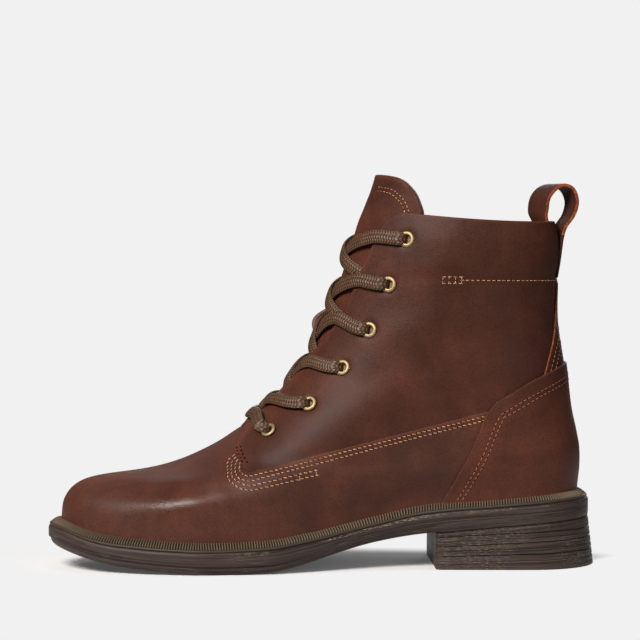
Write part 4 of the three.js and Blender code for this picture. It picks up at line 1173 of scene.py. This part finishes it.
# The rows just under the welt that are rubbed pale.
RUBBED_ROWS = slice(15, 17)
# Streaks are drawn by height in mm: the sole's side is so tall, and starts above the heel's.
SIDE_HEIGHT, SIDE_START, HEEL_HEIGHT = 11.0, 25.0, 24.5


def tread(points):
    """Height of the underside: shallow bars across the forepart, kept clear of the rim."""
    x, y = points[..., 0], points[..., 1]
    bars = np.sin(2 * np.pi * (x + 2.4 * np.cos(2 * np.pi * y / 34)) / 6.4)
    room = smooth(5.0, 8.0, np.minimum(sole_half(x, 0, OUTSOLE_BACK) - np.abs(y - spine(x)), 40))
    fore = (1 - smooth(-8, 2, x)) * smooth(-128, -118, x)
    return under_z(x) + 0.9 * smooth(0.15, 0.5, bars) * room * fore


outline_middle = np.stack([np.clip(edge[:, 0], -HALF_LENGTH + 46, OUTSOLE_BACK - 34), edge[:, 0] * 0], -1)
outline_middle[:, 1] = spine(outline_middle[:, 0])
middle_3d = np.concatenate([outline_middle, outline_middle[:, :1] * 0], -1)
at_heel = smooth(52.0, 60.0, edge[:, :1])
wall = []
for up, inset, kept in WALL_ROWS:
    plan = edge - edge_out * inset * (1 - at_heel * (1 - kept))
    height = under_z(plan[:, :1]) + up * (sole_top_z(plan[:, :1]) - under_z(plan[:, :1]))
    wall.append(np.concatenate([plan, height], -1))
wall = np.array(wall)
under = loop_fill(wall[0], middle_3d, 44, tread)[::-1]
over = loop_fill(wall[-1], middle_3d, 6, lambda p: sole_top_z(p[..., 0]))
sole_points = np.concatenate([under[:-1], wall, over[1:]])
rubbed, level = np.zeros(sole_points.shape[:2]), np.zeros(sole_points.shape[:2])
wall_rows = slice(len(under) - 1, len(under) - 1 + len(wall))
rubbed[wall_rows][RUBBED_ROWS] = smooth(-70, -10, edge[:, 0])
level[wall_rows] = np.array([up for up, _, _ in WALL_ROWS])[:, None] * SIDE_HEIGHT + SIDE_START
outsole = mesh_object(
    "rubber_sole", sole_points.reshape(-1, 3), ring_faces(len(sole_points), len(edge)), [rubber], None,
    {"rubbed": rubbed.ravel(), "level": level.ravel() * MM, "groove_shade": 0 * level.ravel()},
)
finished(outsole, "rubber", "outsole")

# %% The heel
HEEL_CORNER = 3.0
# Grooves: shares of the heel's height at the breast and at the back, and depth in mm.
GROOVES = [
    (0.348, 0.352, 0.65), (0.61, 0.60, 0.75), (0.877, 0.79, 0.7), (0.2, 0.215, 0.3), (0.48, 0.47, 0.35),
    (0.73, 0.7, 0.4), (0.09, 0.11, 0.2), (0.985, 0.985, 0.5),
]


def heel_plan(count, flare):
    front = HALF_LENGTH - HEEL_BREAST
    back = OUTSOLE_BACK + flare
    angle = np.linspace(0, 2 * np.pi, 1600)
    share = (1 - np.cos(angle)) / 2
    x = front + (back - front) * share
    reach = x - front
    whole = sole_half(np.minimum(x, back), -flare / 4, back)
    whole = whole - HEEL_CORNER * (1 - round_end(reach / HEEL_CORNER))
    half = np.where(reach < 1e-6, 0, whole)
    line = np.stack([x, spine(x) + np.sign(np.sin(angle)) * half], -1)
    line[-1] = line[0]
    even = resample(line, line, count + 1)[:-1]
    even[:, 0] += 0.7 * smooth(90, 130, even[:, 0])
    return even


heel_rows = np.concatenate([[0, 0.012, 0.03, 0.05], np.linspace(0.07, 1.0, 112)])
heel_rings, heel_groove_shades = [], []
for level in heel_rows:
    bevel = 0.7 * (1 - round_end(level / 0.04))
    plan = heel_plan(420, HEEL_FLARE * (1 - level))
    way = (plan[:, 0] - HALF_LENGTH + HEEL_BREAST) / HEEL_BREAST
    cut = np.zeros(len(plan))
    for breast, heel_back, depth in GROOVES:
        centre = breast + (heel_back - breast) * way
        wander = 0.003 * np.sin(way * 23 + 40 * breast) + 0.002 * np.sin(way * 61 + 9 * breast)
        cut = np.maximum(cut, depth * np.exp(-(((level - centre - wander) / 0.0095) ** 2)))
    cut = cut * smooth(0.0, 0.03, way)
    # How deep each groove is at this row, kept as painted shade for its colour.
    heel_groove_shades.append(np.clip(cut / 0.6, 0, 1))
    centre_line = np.stack([np.clip(plan[:, 0], 80, 100), spine(np.clip(plan[:, 0], 80, 100))], -1)
    inward = unit(centre_line - plan)
    plan = plan + inward * (cut + bevel)[:, None]
    height = level * (under_z(plan[:, :1]) - 0.3)
    heel_rings.append(np.concatenate([plan, height], -1))
heel_rings = np.array(heel_rings)
heel_middle = middle_of(heel_rings[0], 72, 102)
heel_under = loop_fill(heel_rings[0], heel_middle, 12, lambda p: 0 * p[..., 0])[::-1]
heel_over = loop_fill(heel_rings[-1], heel_middle, 6, lambda p: under_z(p[..., 0]) - 0.3)
heel_all = np.concatenate([heel_under[:-1], heel_rings, heel_over[1:]])
heel_rubbed = np.full(heel_all.shape[:2], 0.35)
heel_level, heel_groove_shade = np.zeros(heel_all.shape[:2]), np.zeros(heel_all.shape[:2])
heel_wall = slice(len(heel_under) - 1, len(heel_under) - 1 + len(heel_rings))
heel_groove_shade[heel_wall] = np.array(heel_groove_shades)
heel_level[heel_wall] = heel_rows[:, None] * HEEL_HEIGHT
heel = mesh_object(
    "stacked_heel", heel_all.reshape(-1, 3), ring_faces(len(heel_all), heel_all.shape[1]), [rubber], None,
    {"rubbed": heel_rubbed.ravel(), "level": heel_level.ravel() * MM, "groove_shade": heel_groove_shade.ravel()},
)
finished(heel, "rubber", "heel_block")

# %% [markdown]
# ## The ribbed welt
# A strip runs round the boot, pressed into fine ribs that stand square to it. Ribs could be a
# bump, but they are seen edge-on along the whole side, so each one is modelled: six stations
# to a rib, the ribs about 1.3 mm apart.

# %% The welt
RIB_PITCH = 1.32
SPREAD = 0.6
perimeter = float(np.linalg.norm((np.roll(edge, -1, 0) - edge) * [1, SPREAD], axis=1).sum())
ribs = int(perimeter / RIB_PITCH)
rim, rim_out = sole_outline(6 * ribs, 0.7, across=SPREAD)
foot_line = surface(np.zeros(720), net_angles)[0][:, :2]
width = np.linalg.norm(foot_line[None] - rim[:, None], axis=-1).min(1)
width = brushed(width, 18, 0, True)
rib_wave = np.tile([1.0, 1.0, 0.55, 0.0, 0.0, 0.55], ribs)
fade = smooth(0, 3, rim[:, 0] + HALF_LENGTH) * smooth(0, 3, OUTSOLE_BACK + 1 - rim[:, 0])
# out: share of the way from the rim to the upper, up: share of the welt's height, rib: depth.
WELT_ROWS = [
    (0.0, 0.0, 0), (-0.02, 0.06, 0), (-0.02, 0.17, 0), (0.02, 0.25, 0), (0.06, 0.28, 0.1), (0.1, 0.33, 0.7),
    (0.17, 0.43, 1.0), (0.27, 0.57, 1.0), (0.4, 0.71, 1.0), (0.56, 0.84, 1.0), (0.74, 0.93, 0.9),
    (0.9, 0.985, 0.5),
    (1.0, 1.0, 0.1), (1.12, 0.97, 0), (1.3, 0.9, 0), (1.3, 0.0, 0),
]
welt_rings, rib_shade = [], []
for out, up, rib in WELT_ROWS:
    plan = rim - rim_out * (out * width)[:, None]
    deep = 0.75 * rib * fade * (1 - rib_wave)
    plan = plan - rim_out * (0.35 * deep)[:, None]
    height = sole_top_z(plan[:, 0]) + 0.1 + up * (WELT_HEIGHT - 0.1) - deep
    welt_rings.append(np.concatenate([plan, height[:, None]], -1))
    # Painted shade: low in the gaps between ribs, high on their crests, in between on the flat rows.
    top = (0.3 if rib == 0 else 0.34 + 0.66 * rib * fade) * np.ones(len(plan))
    rib_shade.append(top - 1.1 * rib * fade * (1 - rib_wave))
welt_rings = np.array(welt_rings)
welt_faces = ring_faces(*welt_rings.shape[:2], closed=True)
painted_rib_shade = {"rib_shade": np.clip(rib_shade, 0, 1).ravel()}
welt = mesh_object("ribbed_welt", welt_rings.reshape(-1, 3), welt_faces, [welt_finish], None, painted_rib_shade)
finished(welt, "welt", "welt")

# %% [markdown]
# ## Brass eyelets
# An eyelet is a rolled tube: a rounded flange on top and a barrel through the leather. It is
# turned like a pot on a wheel, and one mesh holds all twelve.

# %% The eyelets
brass, patina = speckled(
    "antique brass", {"Metallic": 1.0}, (600.0, 3.0, 0.6), (112, 96, 64), (182, 164, 124), bump=(0.04, 0.4)
)
brass.feed("Roughness", 0.5 + 0.16 * patina)

EYELET_PROFILE = [
    (2.1, -2.6), (2.1, -0.3), (2.14, 0.2), (2.26, 0.5), (2.5, 0.66), (2.9, 0.72), (3.3, 0.68), (3.62, 0.52),
    (3.95, 0.25), (4.05, 0.0), (3.9, -0.12), (3.0, -0.14), (2.85, -0.3), (2.75, -2.6),
]
EYELET_TURNS, EYELET_LIFT = 40, 0.1


def turned(profile, count):
    angle = np.arange(count) * 2 * np.pi / count
    radius, height = np.array(profile).T
    return np.stack([radius[:, None] * np.cos(angle), radius[:, None] * np.sin(angle),
                     height[:, None] + 0 * angle], -1)


def frame_of(normal):
    """Two directions square to a normal."""
    first = unit(np.cross([0.0, 0.0, 1.0], normal))
    return first, np.cross(normal, first)


eyelet_points, eyelet_faces = [], []
shape = turned(EYELET_PROFILE, EYELET_TURNS)
for number, side in seats:
    centre, normal = seat_frame(number, side)
    centre = centre + normal * (EYELET_LIFT + float(tab_lift(centre)))
    first, second = frame_of(normal)
    placed = centre + shape[..., 0:1] * first + shape[..., 1:2] * second + shape[..., 2:3] * normal
    start = len(eyelet_points) * len(EYELET_PROFILE) * EYELET_TURNS
    around = ring_faces(len(EYELET_PROFILE), EYELET_TURNS, start, closed=True)
    eyelet_faces.append(around[:, [0, 3, 2, 1]])
    eyelet_points.append(placed.reshape(-1, 3))
eyelets = mesh_object("brass_eyelets", np.concatenate(eyelet_points), np.concatenate(eyelet_faces), [brass])
names = [f"eyelet_{word}_{n + 1}" for n in range(6) for word in ("inner", "outer")]
finished(eyelets, "eyelet", *names)

# %% [markdown]
# ## Laces
# The lace is a flat waxed braid. It enters the two lowest eyelets from outside as a straight
# bar, then each end comes up from under the facing, crosses the tongue and goes into the next
# eyelet on the other side from above. The ends go in at the top pair and are hidden.

# %% Braid finish
braid = Finish("waxed braid", {"Specular IOR Level": 0.3})
spot = braid.node("ShaderNodeUVMap", {"uv_map": "lengthwise"})
run_way, round_at, _ = braid.split(spot)


def wave(value, sharp=1.0):
    swing = 0.5 + 0.5 * braid.node("ShaderNodeMath", {"operation": "SINE"}, {0: value})
    return swing ** sharp


# Twelve columns of plaited yarn go round the lace, each a row of slanted beads.
COLUMNS, BEAD = 12, 1.5
zigzag = braid.node("ShaderNodeMath", {"operation": "PINGPONG"}, {0: round_at * COLUMNS, 1: 1.0})
beads = wave((run_way / BEAD + zigzag * 0.55) * (2 * math.pi), 0.7)
gully = wave(round_at * (2 * math.pi * COLUMNS) + math.pi / 2, 0.6)
plait = beads * (0.35 + 0.65 * gully)
lace_wear = braid.noise(260.0, 3.0, 0.6)
flecks = braid.ramp(braid.noise(1100.0, 2.0, 0.6), 0.56, 0.7)
# Painted shade: the gaps between the beads and between the columns of the braid are painted near black.
braid_base = braid.mix(tone(32, 20, 12), tone(98, 67, 43), plait * 0.95 + (lace_wear - 0.5) * 0.5)
braid.feed("Base Color", braid.mix(braid_base, tone(142, 114, 86), flecks * plait * 0.35))
braid.feed("Roughness", 0.46 + 0.2 * (lace_wear - 0.5))
braid.relief((plait, 0.3, 0.8), (lace_wear, 0.2, 0.4))

# %% Strands of lace
LACE_W, LACE_T, LACE_TURNS = 6.8, 2.3, 24


def ribbon(centres, sides, widths, thick):
    """A flat strand with oval section swept along centres: its points, faces and lengthwise map."""
    tangent = unit(np.gradient(centres, axis=0))
    sides = unit(sides - (sides * tangent).sum(-1, keepdims=True) * tangent)
    ups = np.cross(sides, tangent)
    angle = np.arange(LACE_TURNS) * 2 * np.pi / LACE_TURNS
    across = np.sign(np.cos(angle)) * np.abs(np.cos(angle)) ** 0.85
    upward = np.sign(np.sin(angle)) * np.abs(np.sin(angle)) ** 0.9
    points = centres[:, None] + sides[:, None] * (widths[:, None] * across / 2)[..., None]
    points = points + ups[:, None] * (thick * upward / 2)[:, None]
    run = run_of(centres)
    uv = np.stack([run[:, None] + 0 * angle, (0 * run[:, None] + angle / (2 * np.pi))], -1).reshape(-1, 2)
    return *capped_tube(points), np.concatenate([uv, [[0, 0], [run[-1], 0]]])


def lace_path(start, end, heights, ways, bow):
    """Points over the throat from one (ring, angle) to another, at heights above the form."""
    rings = start[0] + (end[0] - start[0]) * ways + bow
    angles = start[1] + (end[1] - start[1]) * ways
    points, normals = surface(rings, angles)
    return points + normals * heights[:, None], normals


# How a strand bends into its eyelet: mm short of its middle, and mm above its flange.
TAIL = [(-4.3, 1.95), (-3.3, 1.75), (-2.4, 1.25), (-1.7, 0.4), (-1.3, -0.7), (-1.1, -1.9), (-1.0, -3.0)]


def drop_in(points, normals, number, side, at_end):
    """Bends the last few millimetres of a strand down into its eyelet."""
    centre, normal = seat_frame(number, side)
    lift = EYELET_LIFT + float(tab_lift(centre))
    order = slice(None) if at_end else slice(None, None, -1)
    points, normals = points[order], normals[order]
    far = np.linalg.norm(points - centre, axis=-1)
    keep = far > 5.2
    points, normals = points[keep], normals[keep]
    way = unit(centre - points[-1] - ((centre - points[-1]) @ normal) * normal)
    extra = np.array([centre + way * a + normal * (lift + b) for a, b in TAIL])
    points = np.concatenate([points, extra])
    normals = np.concatenate([normals, np.repeat(normal[None], len(TAIL), 0)])
    return points[order], normals[order]


def even_path(points, normals, step):
    count = int(run_of(points)[-1] / step)
    places = spline(points, count)
    return places, resample(normals, points, count)


lace_parts, lace_faces, lace_uv = [], [], []
# Of each pair of strands: where it comes out of the gap, where it lands, and how far it bows up.
OPEN = [0.40, 0.37, 0.29, 0.23, 0.20]
LAND = [0.56, 0.66, 0.70, 0.76, 0.78]
BOW = [0.34, 0.38, 0.46, 0.28, 0.25]


def add_strand(points, normals, narrow_start, narrow_end):
    centres, ups = even_path(points, normals, 0.6)
    tangent = unit(np.gradient(centres, axis=0))
    flat_way = tangent - (tangent * ups).sum(-1, keepdims=True) * ups
    steady = np.linalg.norm(flat_way, axis=1) > 0.6
    sides = np.cross(ups, unit(flat_way))
    order = np.arange(len(sides))
    sides = np.stack([np.interp(order, order[steady], sides[steady, k]) for k in range(3)], -1)
    run = run_of(centres)
    widths = np.full(len(centres), LACE_W)
    for left in [run[-1] - run] * narrow_end + [run] * narrow_start:
        widths -= 2.4 * (1 - smooth(0.5, 5.5, left))
    flat, faces, uv = ribbon(centres, sides, widths, LACE_T)
    start = sum(len(part) for part in lace_parts)
    lace_parts.append(flat)
    lace_faces.append(np.where(faces >= 0, faces + start, -1))
    lace_uv.append(uv)


for i in range(5):
    for side in (-1, 1):
        start, end = seats[i, side], seats[i + 1, -side]
        opening, landing = OPEN[i], LAND[i]
        over = 1.7 if side < 0 else 0.0
        rows = np.array([
            (opening - 0.12, -3.4), (opening - 0.03, -2.6), (opening + 0.04, -1.9 + 0.3 * over),
            ((opening + landing) / 2 - 0.04, -1.3 + over), (landing - 0.03, 0.6 + 0.35 * over),
            (landing + 0.06, 1.5), (0.94, 2.0), (1.0, 2.0),
        ])
        ways = np.linspace(rows[0, 0], 1.0, 90)
        heights = column(rows, 1)(ways)
        base = surface(start[0] + (end[0] - start[0]) * ways, start[1] + (end[1] - start[1]) * ways)[0]
        heights = heights + tab_lift(base) * smooth(landing - 0.05, landing + 0.05, ways)
        bow = BOW[i] * smooth(opening - 0.1, landing, ways) * (1 - smooth(landing + 0.02, 1.02, ways))
        points, normals = lace_path(start, end, heights, ways, bow)
        points, normals = drop_in(points, normals, i + 1, -side, True)
        add_strand(points, normals, False, True)

ways = np.linspace(0, 1, 80)
start, end = seats[0, -1], seats[0, 1]
bar_rows = np.array([(0, 1.4), (0.12, 1.4), (0.3, 1.1), (0.5, 0.9), (0.7, 1.1), (0.88, 1.4), (1, 1.4)])
bar_rows[:, 1] += TAB
bar_bow = 0.36 * smooth(0, 0.3, ways) * (1 - smooth(0.7, 1, ways))
points, normals = lace_path(start, end, column(bar_rows, 1)(ways), ways, bar_bow)
points, normals = drop_in(points, normals, 0, 1, True)
points, normals = drop_in(points, normals, 0, -1, False)
add_strand(points, normals, True, True)
lace_points, lace_faces, lace_uv = (np.concatenate(part) for part in (lace_parts, lace_faces, lace_uv))
lace = mesh_object("lace", lace_points, lace_faces, [braid], uv=lace_uv)
finished(lace, "lace", "lace_bar", *[f"lace_crossing_{n}" for n in range(1, 6)])

# %% [markdown]
# ## Pull loop
# A doubled strap of leather, caught behind the collar and stitched down the back, with its raw
# edges showing bright. It is swept along its middle line and turned a little, as a strap that
# has been pulled is.

# %% The pull loop


def back_at(z):
    levels = np.linspace(0, 16, 400)
    heights = HEEL_SEAM + BACK_RISE * ring_back_up(levels)
    return TOE_X + UPPER_LENGTH * ring_back(np.interp(z, heights, levels))


STRAP_W, STRAP_T, STRAP_TWIST = 17.0, 1.6, 27.0


def z_at(share):
    return TOE_SEAM + FRONT_RISE * share


def inner_x(share):
    return float(back_at(z_at(share))) - WALL - 0.6 - STRAP_T / 2 - 2.6


def outer_x(share):
    return float(back_at(z_at(share))) + 0.1 + STRAP_T / 2


def loop_x(share):
    return TOE_X + UPPER_LENGTH * share


strap_rows = [
    (inner_x(0.86), z_at(0.86), 0), (inner_x(0.93), z_at(0.93), 0.3), (loop_x(0.932), z_at(0.985), 0.8),
    (loop_x(0.931), z_at(1.01), 1), (loop_x(0.935), z_at(1.048), 1), (loop_x(0.949), z_at(1.078), 1),
    (loop_x(0.968), z_at(1.09), 0.8), (loop_x(0.988), z_at(1.076), 0.6), (loop_x(0.997), z_at(1.036), 0.5),
    (loop_x(0.991), z_at(0.992), 0.45), (loop_x(0.976), z_at(0.953), 0.4),
    (outer_x(0.918) + 0.1, z_at(0.918), 0.15), (outer_x(0.88) - 0.3, z_at(0.88), 0),
    (outer_x(0.83) - 0.8, z_at(0.83), 0), (outer_x(0.785) - 1.5, z_at(0.785), 0),
]
strap_line = spline([(x, z, 14 * t) for x, z, t in strap_rows], 150)
strap_x, strap_z, strap_turn = strap_line[:, 0], strap_line[:, 1], strap_line[:, 2] / 14
strap_centre = np.stack([strap_x, body_spine(strap_x, strap_z), strap_z], -1)
turn = -np.radians(STRAP_TWIST) * strap_turn
strap_side = np.stack([np.sin(turn), np.cos(turn), 0 * turn], -1)
strap_tangent = unit(np.gradient(strap_centre, axis=0))
strap_up = unit(np.cross(strap_side, strap_tangent))
# The section: two faces with soft shoulders and two cut edges.
half_w, half_t, soft = STRAP_W / 2, STRAP_T / 2, 0.35
section = []
for sx, sz in ((1, -1), (1, 1), (-1, 1), (-1, -1)):
    for k in range(4):
        turn_k = math.radians(30 * k)
        a, b = (math.sin(turn_k), math.cos(turn_k)) if sx * sz < 0 else (math.cos(turn_k), math.sin(turn_k))
        section.append((sx * (half_w - soft + soft * a), sz * (half_t - soft + soft * b)))
section = np.array(section)
extra = np.linspace(-1, 1, 9)[1:-1] * (half_w - soft)
section = np.concatenate([section[:8], np.stack([extra[::-1], np.full(7, half_t)], -1), section[8:],
                          np.stack([extra, np.full(7, -half_t)], -1)])
strap_points = strap_centre[:, None] + section[None, :, :1] * strap_side[:, None]
outside = np.arange(len(strap_z)) > len(strap_z) / 2
skived = 1 - 0.45 * outside * (1 - smooth(z_at(0.79), z_at(0.93), strap_z))
strap_points = strap_points + section[None, :, 1:] * strap_up[:, None] * skived[:, None, None]
n = len(section)
middles = (section + np.roll(section, -1, 0)) / 2
is_edge = (np.abs(middles[:, 0]) > half_w - 0.28).astype(int)
marks = np.tile(is_edge, len(strap_points) - 1)
# Below the collar the cut edges take the strap's face leather, so they are painted dark with it: painted
# shade.
marks = marks * np.repeat(strap_z[1:] > z_at(0.925), n)
all_points, strap_faces = capped_tube(strap_points)
# The strap is toned down a little above the collar and darker still below it, where it lies flat against the
# back: painted shade.
strap_tone_and_shade = np.where(all_points[:, 2] > z_at(0.93), -0.2, -0.5)
pull = mesh_object(
    "pull_strap", all_points, strap_faces, [loop_leather, raw_edge],
    np.concatenate([marks, np.ones(2 * n, int)]), {"warm": strap_tone_and_shade},
)
finished(pull, "loop_leather", "pull_loop")

# %% [markdown]
# ## Stitching
# Thread is what makes leather read as a made thing. Every stitch is a small bead of thread that
# dives into the leather at both ends. Rows follow the same outlines as the panels, moved inwards
# by their seam allowance. Small near-black beads between the stitches are painted shade for the
# holes.

# %% Rows of stitches
thread, _ = speckled(
    "thread", {"Roughness": 0.55}, (900.0, 2.0, 0.5), (118, 74, 46), (196, 144, 102), (0.3, 0.7)
)
rust_thread = Finish("rust thread", {"Roughness": 0.6, "Base Color": tone(132, 76, 50)})
# Painted shade: a near-black matt finish for the holes between stitches.
needle_hole_shade = Finish(
    "needle hole shade", {"Roughness": 0.9, "Base Color": tone(24, 12, 9), "Specular IOR Level": 0.1}
)

stitch_parts, rust_parts, hole_shade_parts = [], [], []
LONG, THICK = 2.0, 0.23
# A stitch: share of its length, height and radius in shares of the thread's own.
STITCH_SHAPE = [
    (0.0, -0.42, 0.45), (0.1, -0.1, 0.8), (0.28, 0.16, 1.0), (0.5, 0.24, 1.05), (0.72, 0.16, 1.0),
    (0.9, -0.1, 0.8), (1.0, -0.42, 0.45),
]


def beads_along(points, way, normals, long, thick, parts):
    """Small beads of six sides, dipping into the leather at both ends."""
    across = np.cross(normals, way)
    shape = np.array(STITCH_SHAPE)
    angle = np.arange(6) * np.pi / 3
    centres = points[:, None] + way[:, None] * ((shape[:, 0] - 0.5) * long)[None, :, None]
    centres = centres + normals[:, None] * (shape[:, 1] * thick)[None, :, None]
    radius = shape[:, 2] * thick
    body = centres[:, :, None] + (radius[:, None] * np.cos(angle))[None, :, :, None] * across[:, None, None]
    parts.append(body + (radius[:, None] * np.sin(angle))[None, :, :, None] * normals[:, None, None])


def stitch_row(line, lift, pitch=2.5, long=LONG, lean=0.0, thick=THICK, parts=stitch_parts):
    """Stitches along a line of (angle, ring) on the form, lifted with the panel they hold."""
    count = max(2, int(length_of(line) / pitch) + 1)
    even = evenly(line, count)
    points, normals = surface(even[:, 1], even[:, 0])
    height = lift(points) if callable(lift) else np.full(len(points), lift)
    points = points + normals * height[:, None]
    way = unit(np.gradient(points, axis=0))
    way = unit(way - (way * normals).sum(-1, keepdims=True) * normals)
    across = np.cross(normals, way)
    beads_along(points, unit(way + lean * across), normals, long, thick, parts)
    # Painted shade: small dark beads sunk between the stitches stand for the holes the thread goes through.
    between = (points[1:] + points[:-1]) / 2 - normals[1:] * 0.07
    beads_along(between, unit(way[1:] - 0.5 * across[1:] * np.sign(lean)), normals[1:], 1.0, 0.24, hole_shade_parts)
    return points


def trimmed(line, low, high):
    return line[int(low * (len(line) - 1)):int(high * (len(line) - 1)) + 1]


# The four rows that turn round the front corner; the upper two run on along the whole seam.
CORNER_ROWS = [
    [(0.3443, 0.1817), (0.3424, 0.1688), (0.3453, 0.1575), (0.3548, 0.1488), (0.3663, 0.1478),
     (0.3863, 0.1559)],
    [(0.3405, 0.1913), (0.3353, 0.1752), (0.3347, 0.1607), (0.3395, 0.1462), (0.3510, 0.1366),
     (0.3653, 0.1346), (0.3863, 0.1427)],
    [(0.3372, 0.1994), (0.3300, 0.1833), (0.3271, 0.1639), (0.3315, 0.1430), (0.3462, 0.1259),
     (0.3644, 0.1211), (0.3844, 0.1285), (0.4894, 0.1662)],
    [(0.3347, 0.2075), (0.3242, 0.1897), (0.3200, 0.1688), (0.3244, 0.1356), (0.3420, 0.1133),
     (0.3640, 0.1072), (0.3859, 0.1146), (0.4894, 0.1527)],
]
COLLAR_BAND = [(0.771, 0.780), (0.86, 0.779), (0.93, 0.778), (0.9665, 0.777)]
HOLE_COLUMNS = [[(0.3424, 0.2268), (0.35, 0.1849)], [(0.3493, 0.2293), (0.3592, 0.1836)]]
for side in (1, -1):
    for rows, inset in zip(CORNER_ROWS[:2], (2.0, 4.0)):
        seam_row = on_form(SIDE_SEAM[1:], side, inward=inset)
        corner = np.concatenate([on_form(rows, side), seam_row])
        stitch_row(corner, vamp_lift, lean=0.25 * side)
    for rows in CORNER_ROWS[2:]:
        stitch_row(on_form(rows, side), vamp_lift, lean=0.25 * side)
    for at in (-42, -1):
        ends = [on_form(rows, side)[at] for rows in CORNER_ROWS[2:]]
        stitch_row(np.array(ends), vamp_lift, pitch=1.1, long=1.3)
    for inset in (6.1, 8.3):
        side_line = trimmed(on_form(COUNTER_SIDE, side, inward=inset), 0, 0.935)
        top_line = on_form(COUNTER_TOP, side, True, inward=inset)
        for line in (side_line[side_line[:, 1] > 0.1], top_line):
            stitch_row(line, COUNTER_LIFT, thick=0.2, parts=rust_parts)
    for inset in (2.4, 4.8):
        stay_line = trimmed(on_form(STAY_SIDE, side, inward=inset), 0.12, 0.93)
        stitch_row(stay_line, stay_lift, thick=0.2, parts=rust_parts)
    stitch_row(on_form(COLLAR_BAND, side), quarter_lift, thick=0.2)
    # A ladder of stitches tacks the front end of the collar's row.
    for high in (0.7905, 0.770):
        rail = on_form([(0.736, high), (0.768, high)], side, count=30)
        stitch_row(rail, quarter_lift, pitch=2.2, thick=0.2)
    for at in (0.7335, 0.7455, 0.7575, 0.7695):
        rung = on_form([(at, 0.774), (at, 0.787)], side, count=30)
        stitch_row(rung, quarter_lift, pitch=2.0, thick=0.2)
    for inset in (6.4, 8.4):
        tongue_line = on_form(TONGUE_SIDE[-4:] + TONGUE_TOP[1:5], side, inward=-inset)
        stitch_row(tongue_line, tongue_lift, pitch=2.1, long=1.6, thick=0.17)
    # Two short columns of bare stitch holes in the foot of the facing, each a dark bead of painted shade.
    for ends in HOLE_COLUMNS:
        spots = evenly(on_form(ends, side, count=40), 5)
        points, normals = surface(spots[:, 1], spots[:, 0])
        way = unit(np.gradient(points, axis=0))
        beads_along(points + normals * (TAB + 0.04), way, normals, 1.0, 0.42, hole_shade_parts)


def beads_object(name, parts, finish):
    faces, points, start = [], [], 0
    for body in parts:
        count, rows, sides = body.shape[:3]
        for k in range(count):
            points.append(body[k].reshape(-1, 3))
            low = [(start + 5, start + 4, start + 1, start + 0), (start + 4, start + 3, start + 2, start + 1)]
            top = start + (rows - 1) * sides
            high = [(top + 0, top + 1, top + 4, top + 5), (top + 1, top + 2, top + 3, top + 4)]
            faces.append(np.concatenate([ring_faces(rows, sides, start), low, high]))
            start += rows * sides
    made = mesh_object(name, np.concatenate(points), np.concatenate(faces), [finish])
    finished(made, "leather")


beads_object("stitching", stitch_parts, thread)
beads_object("fine_stitching", rust_parts, rust_thread)
beads_object("needle_hole_shades", hole_shade_parts, needle_hole_shade)
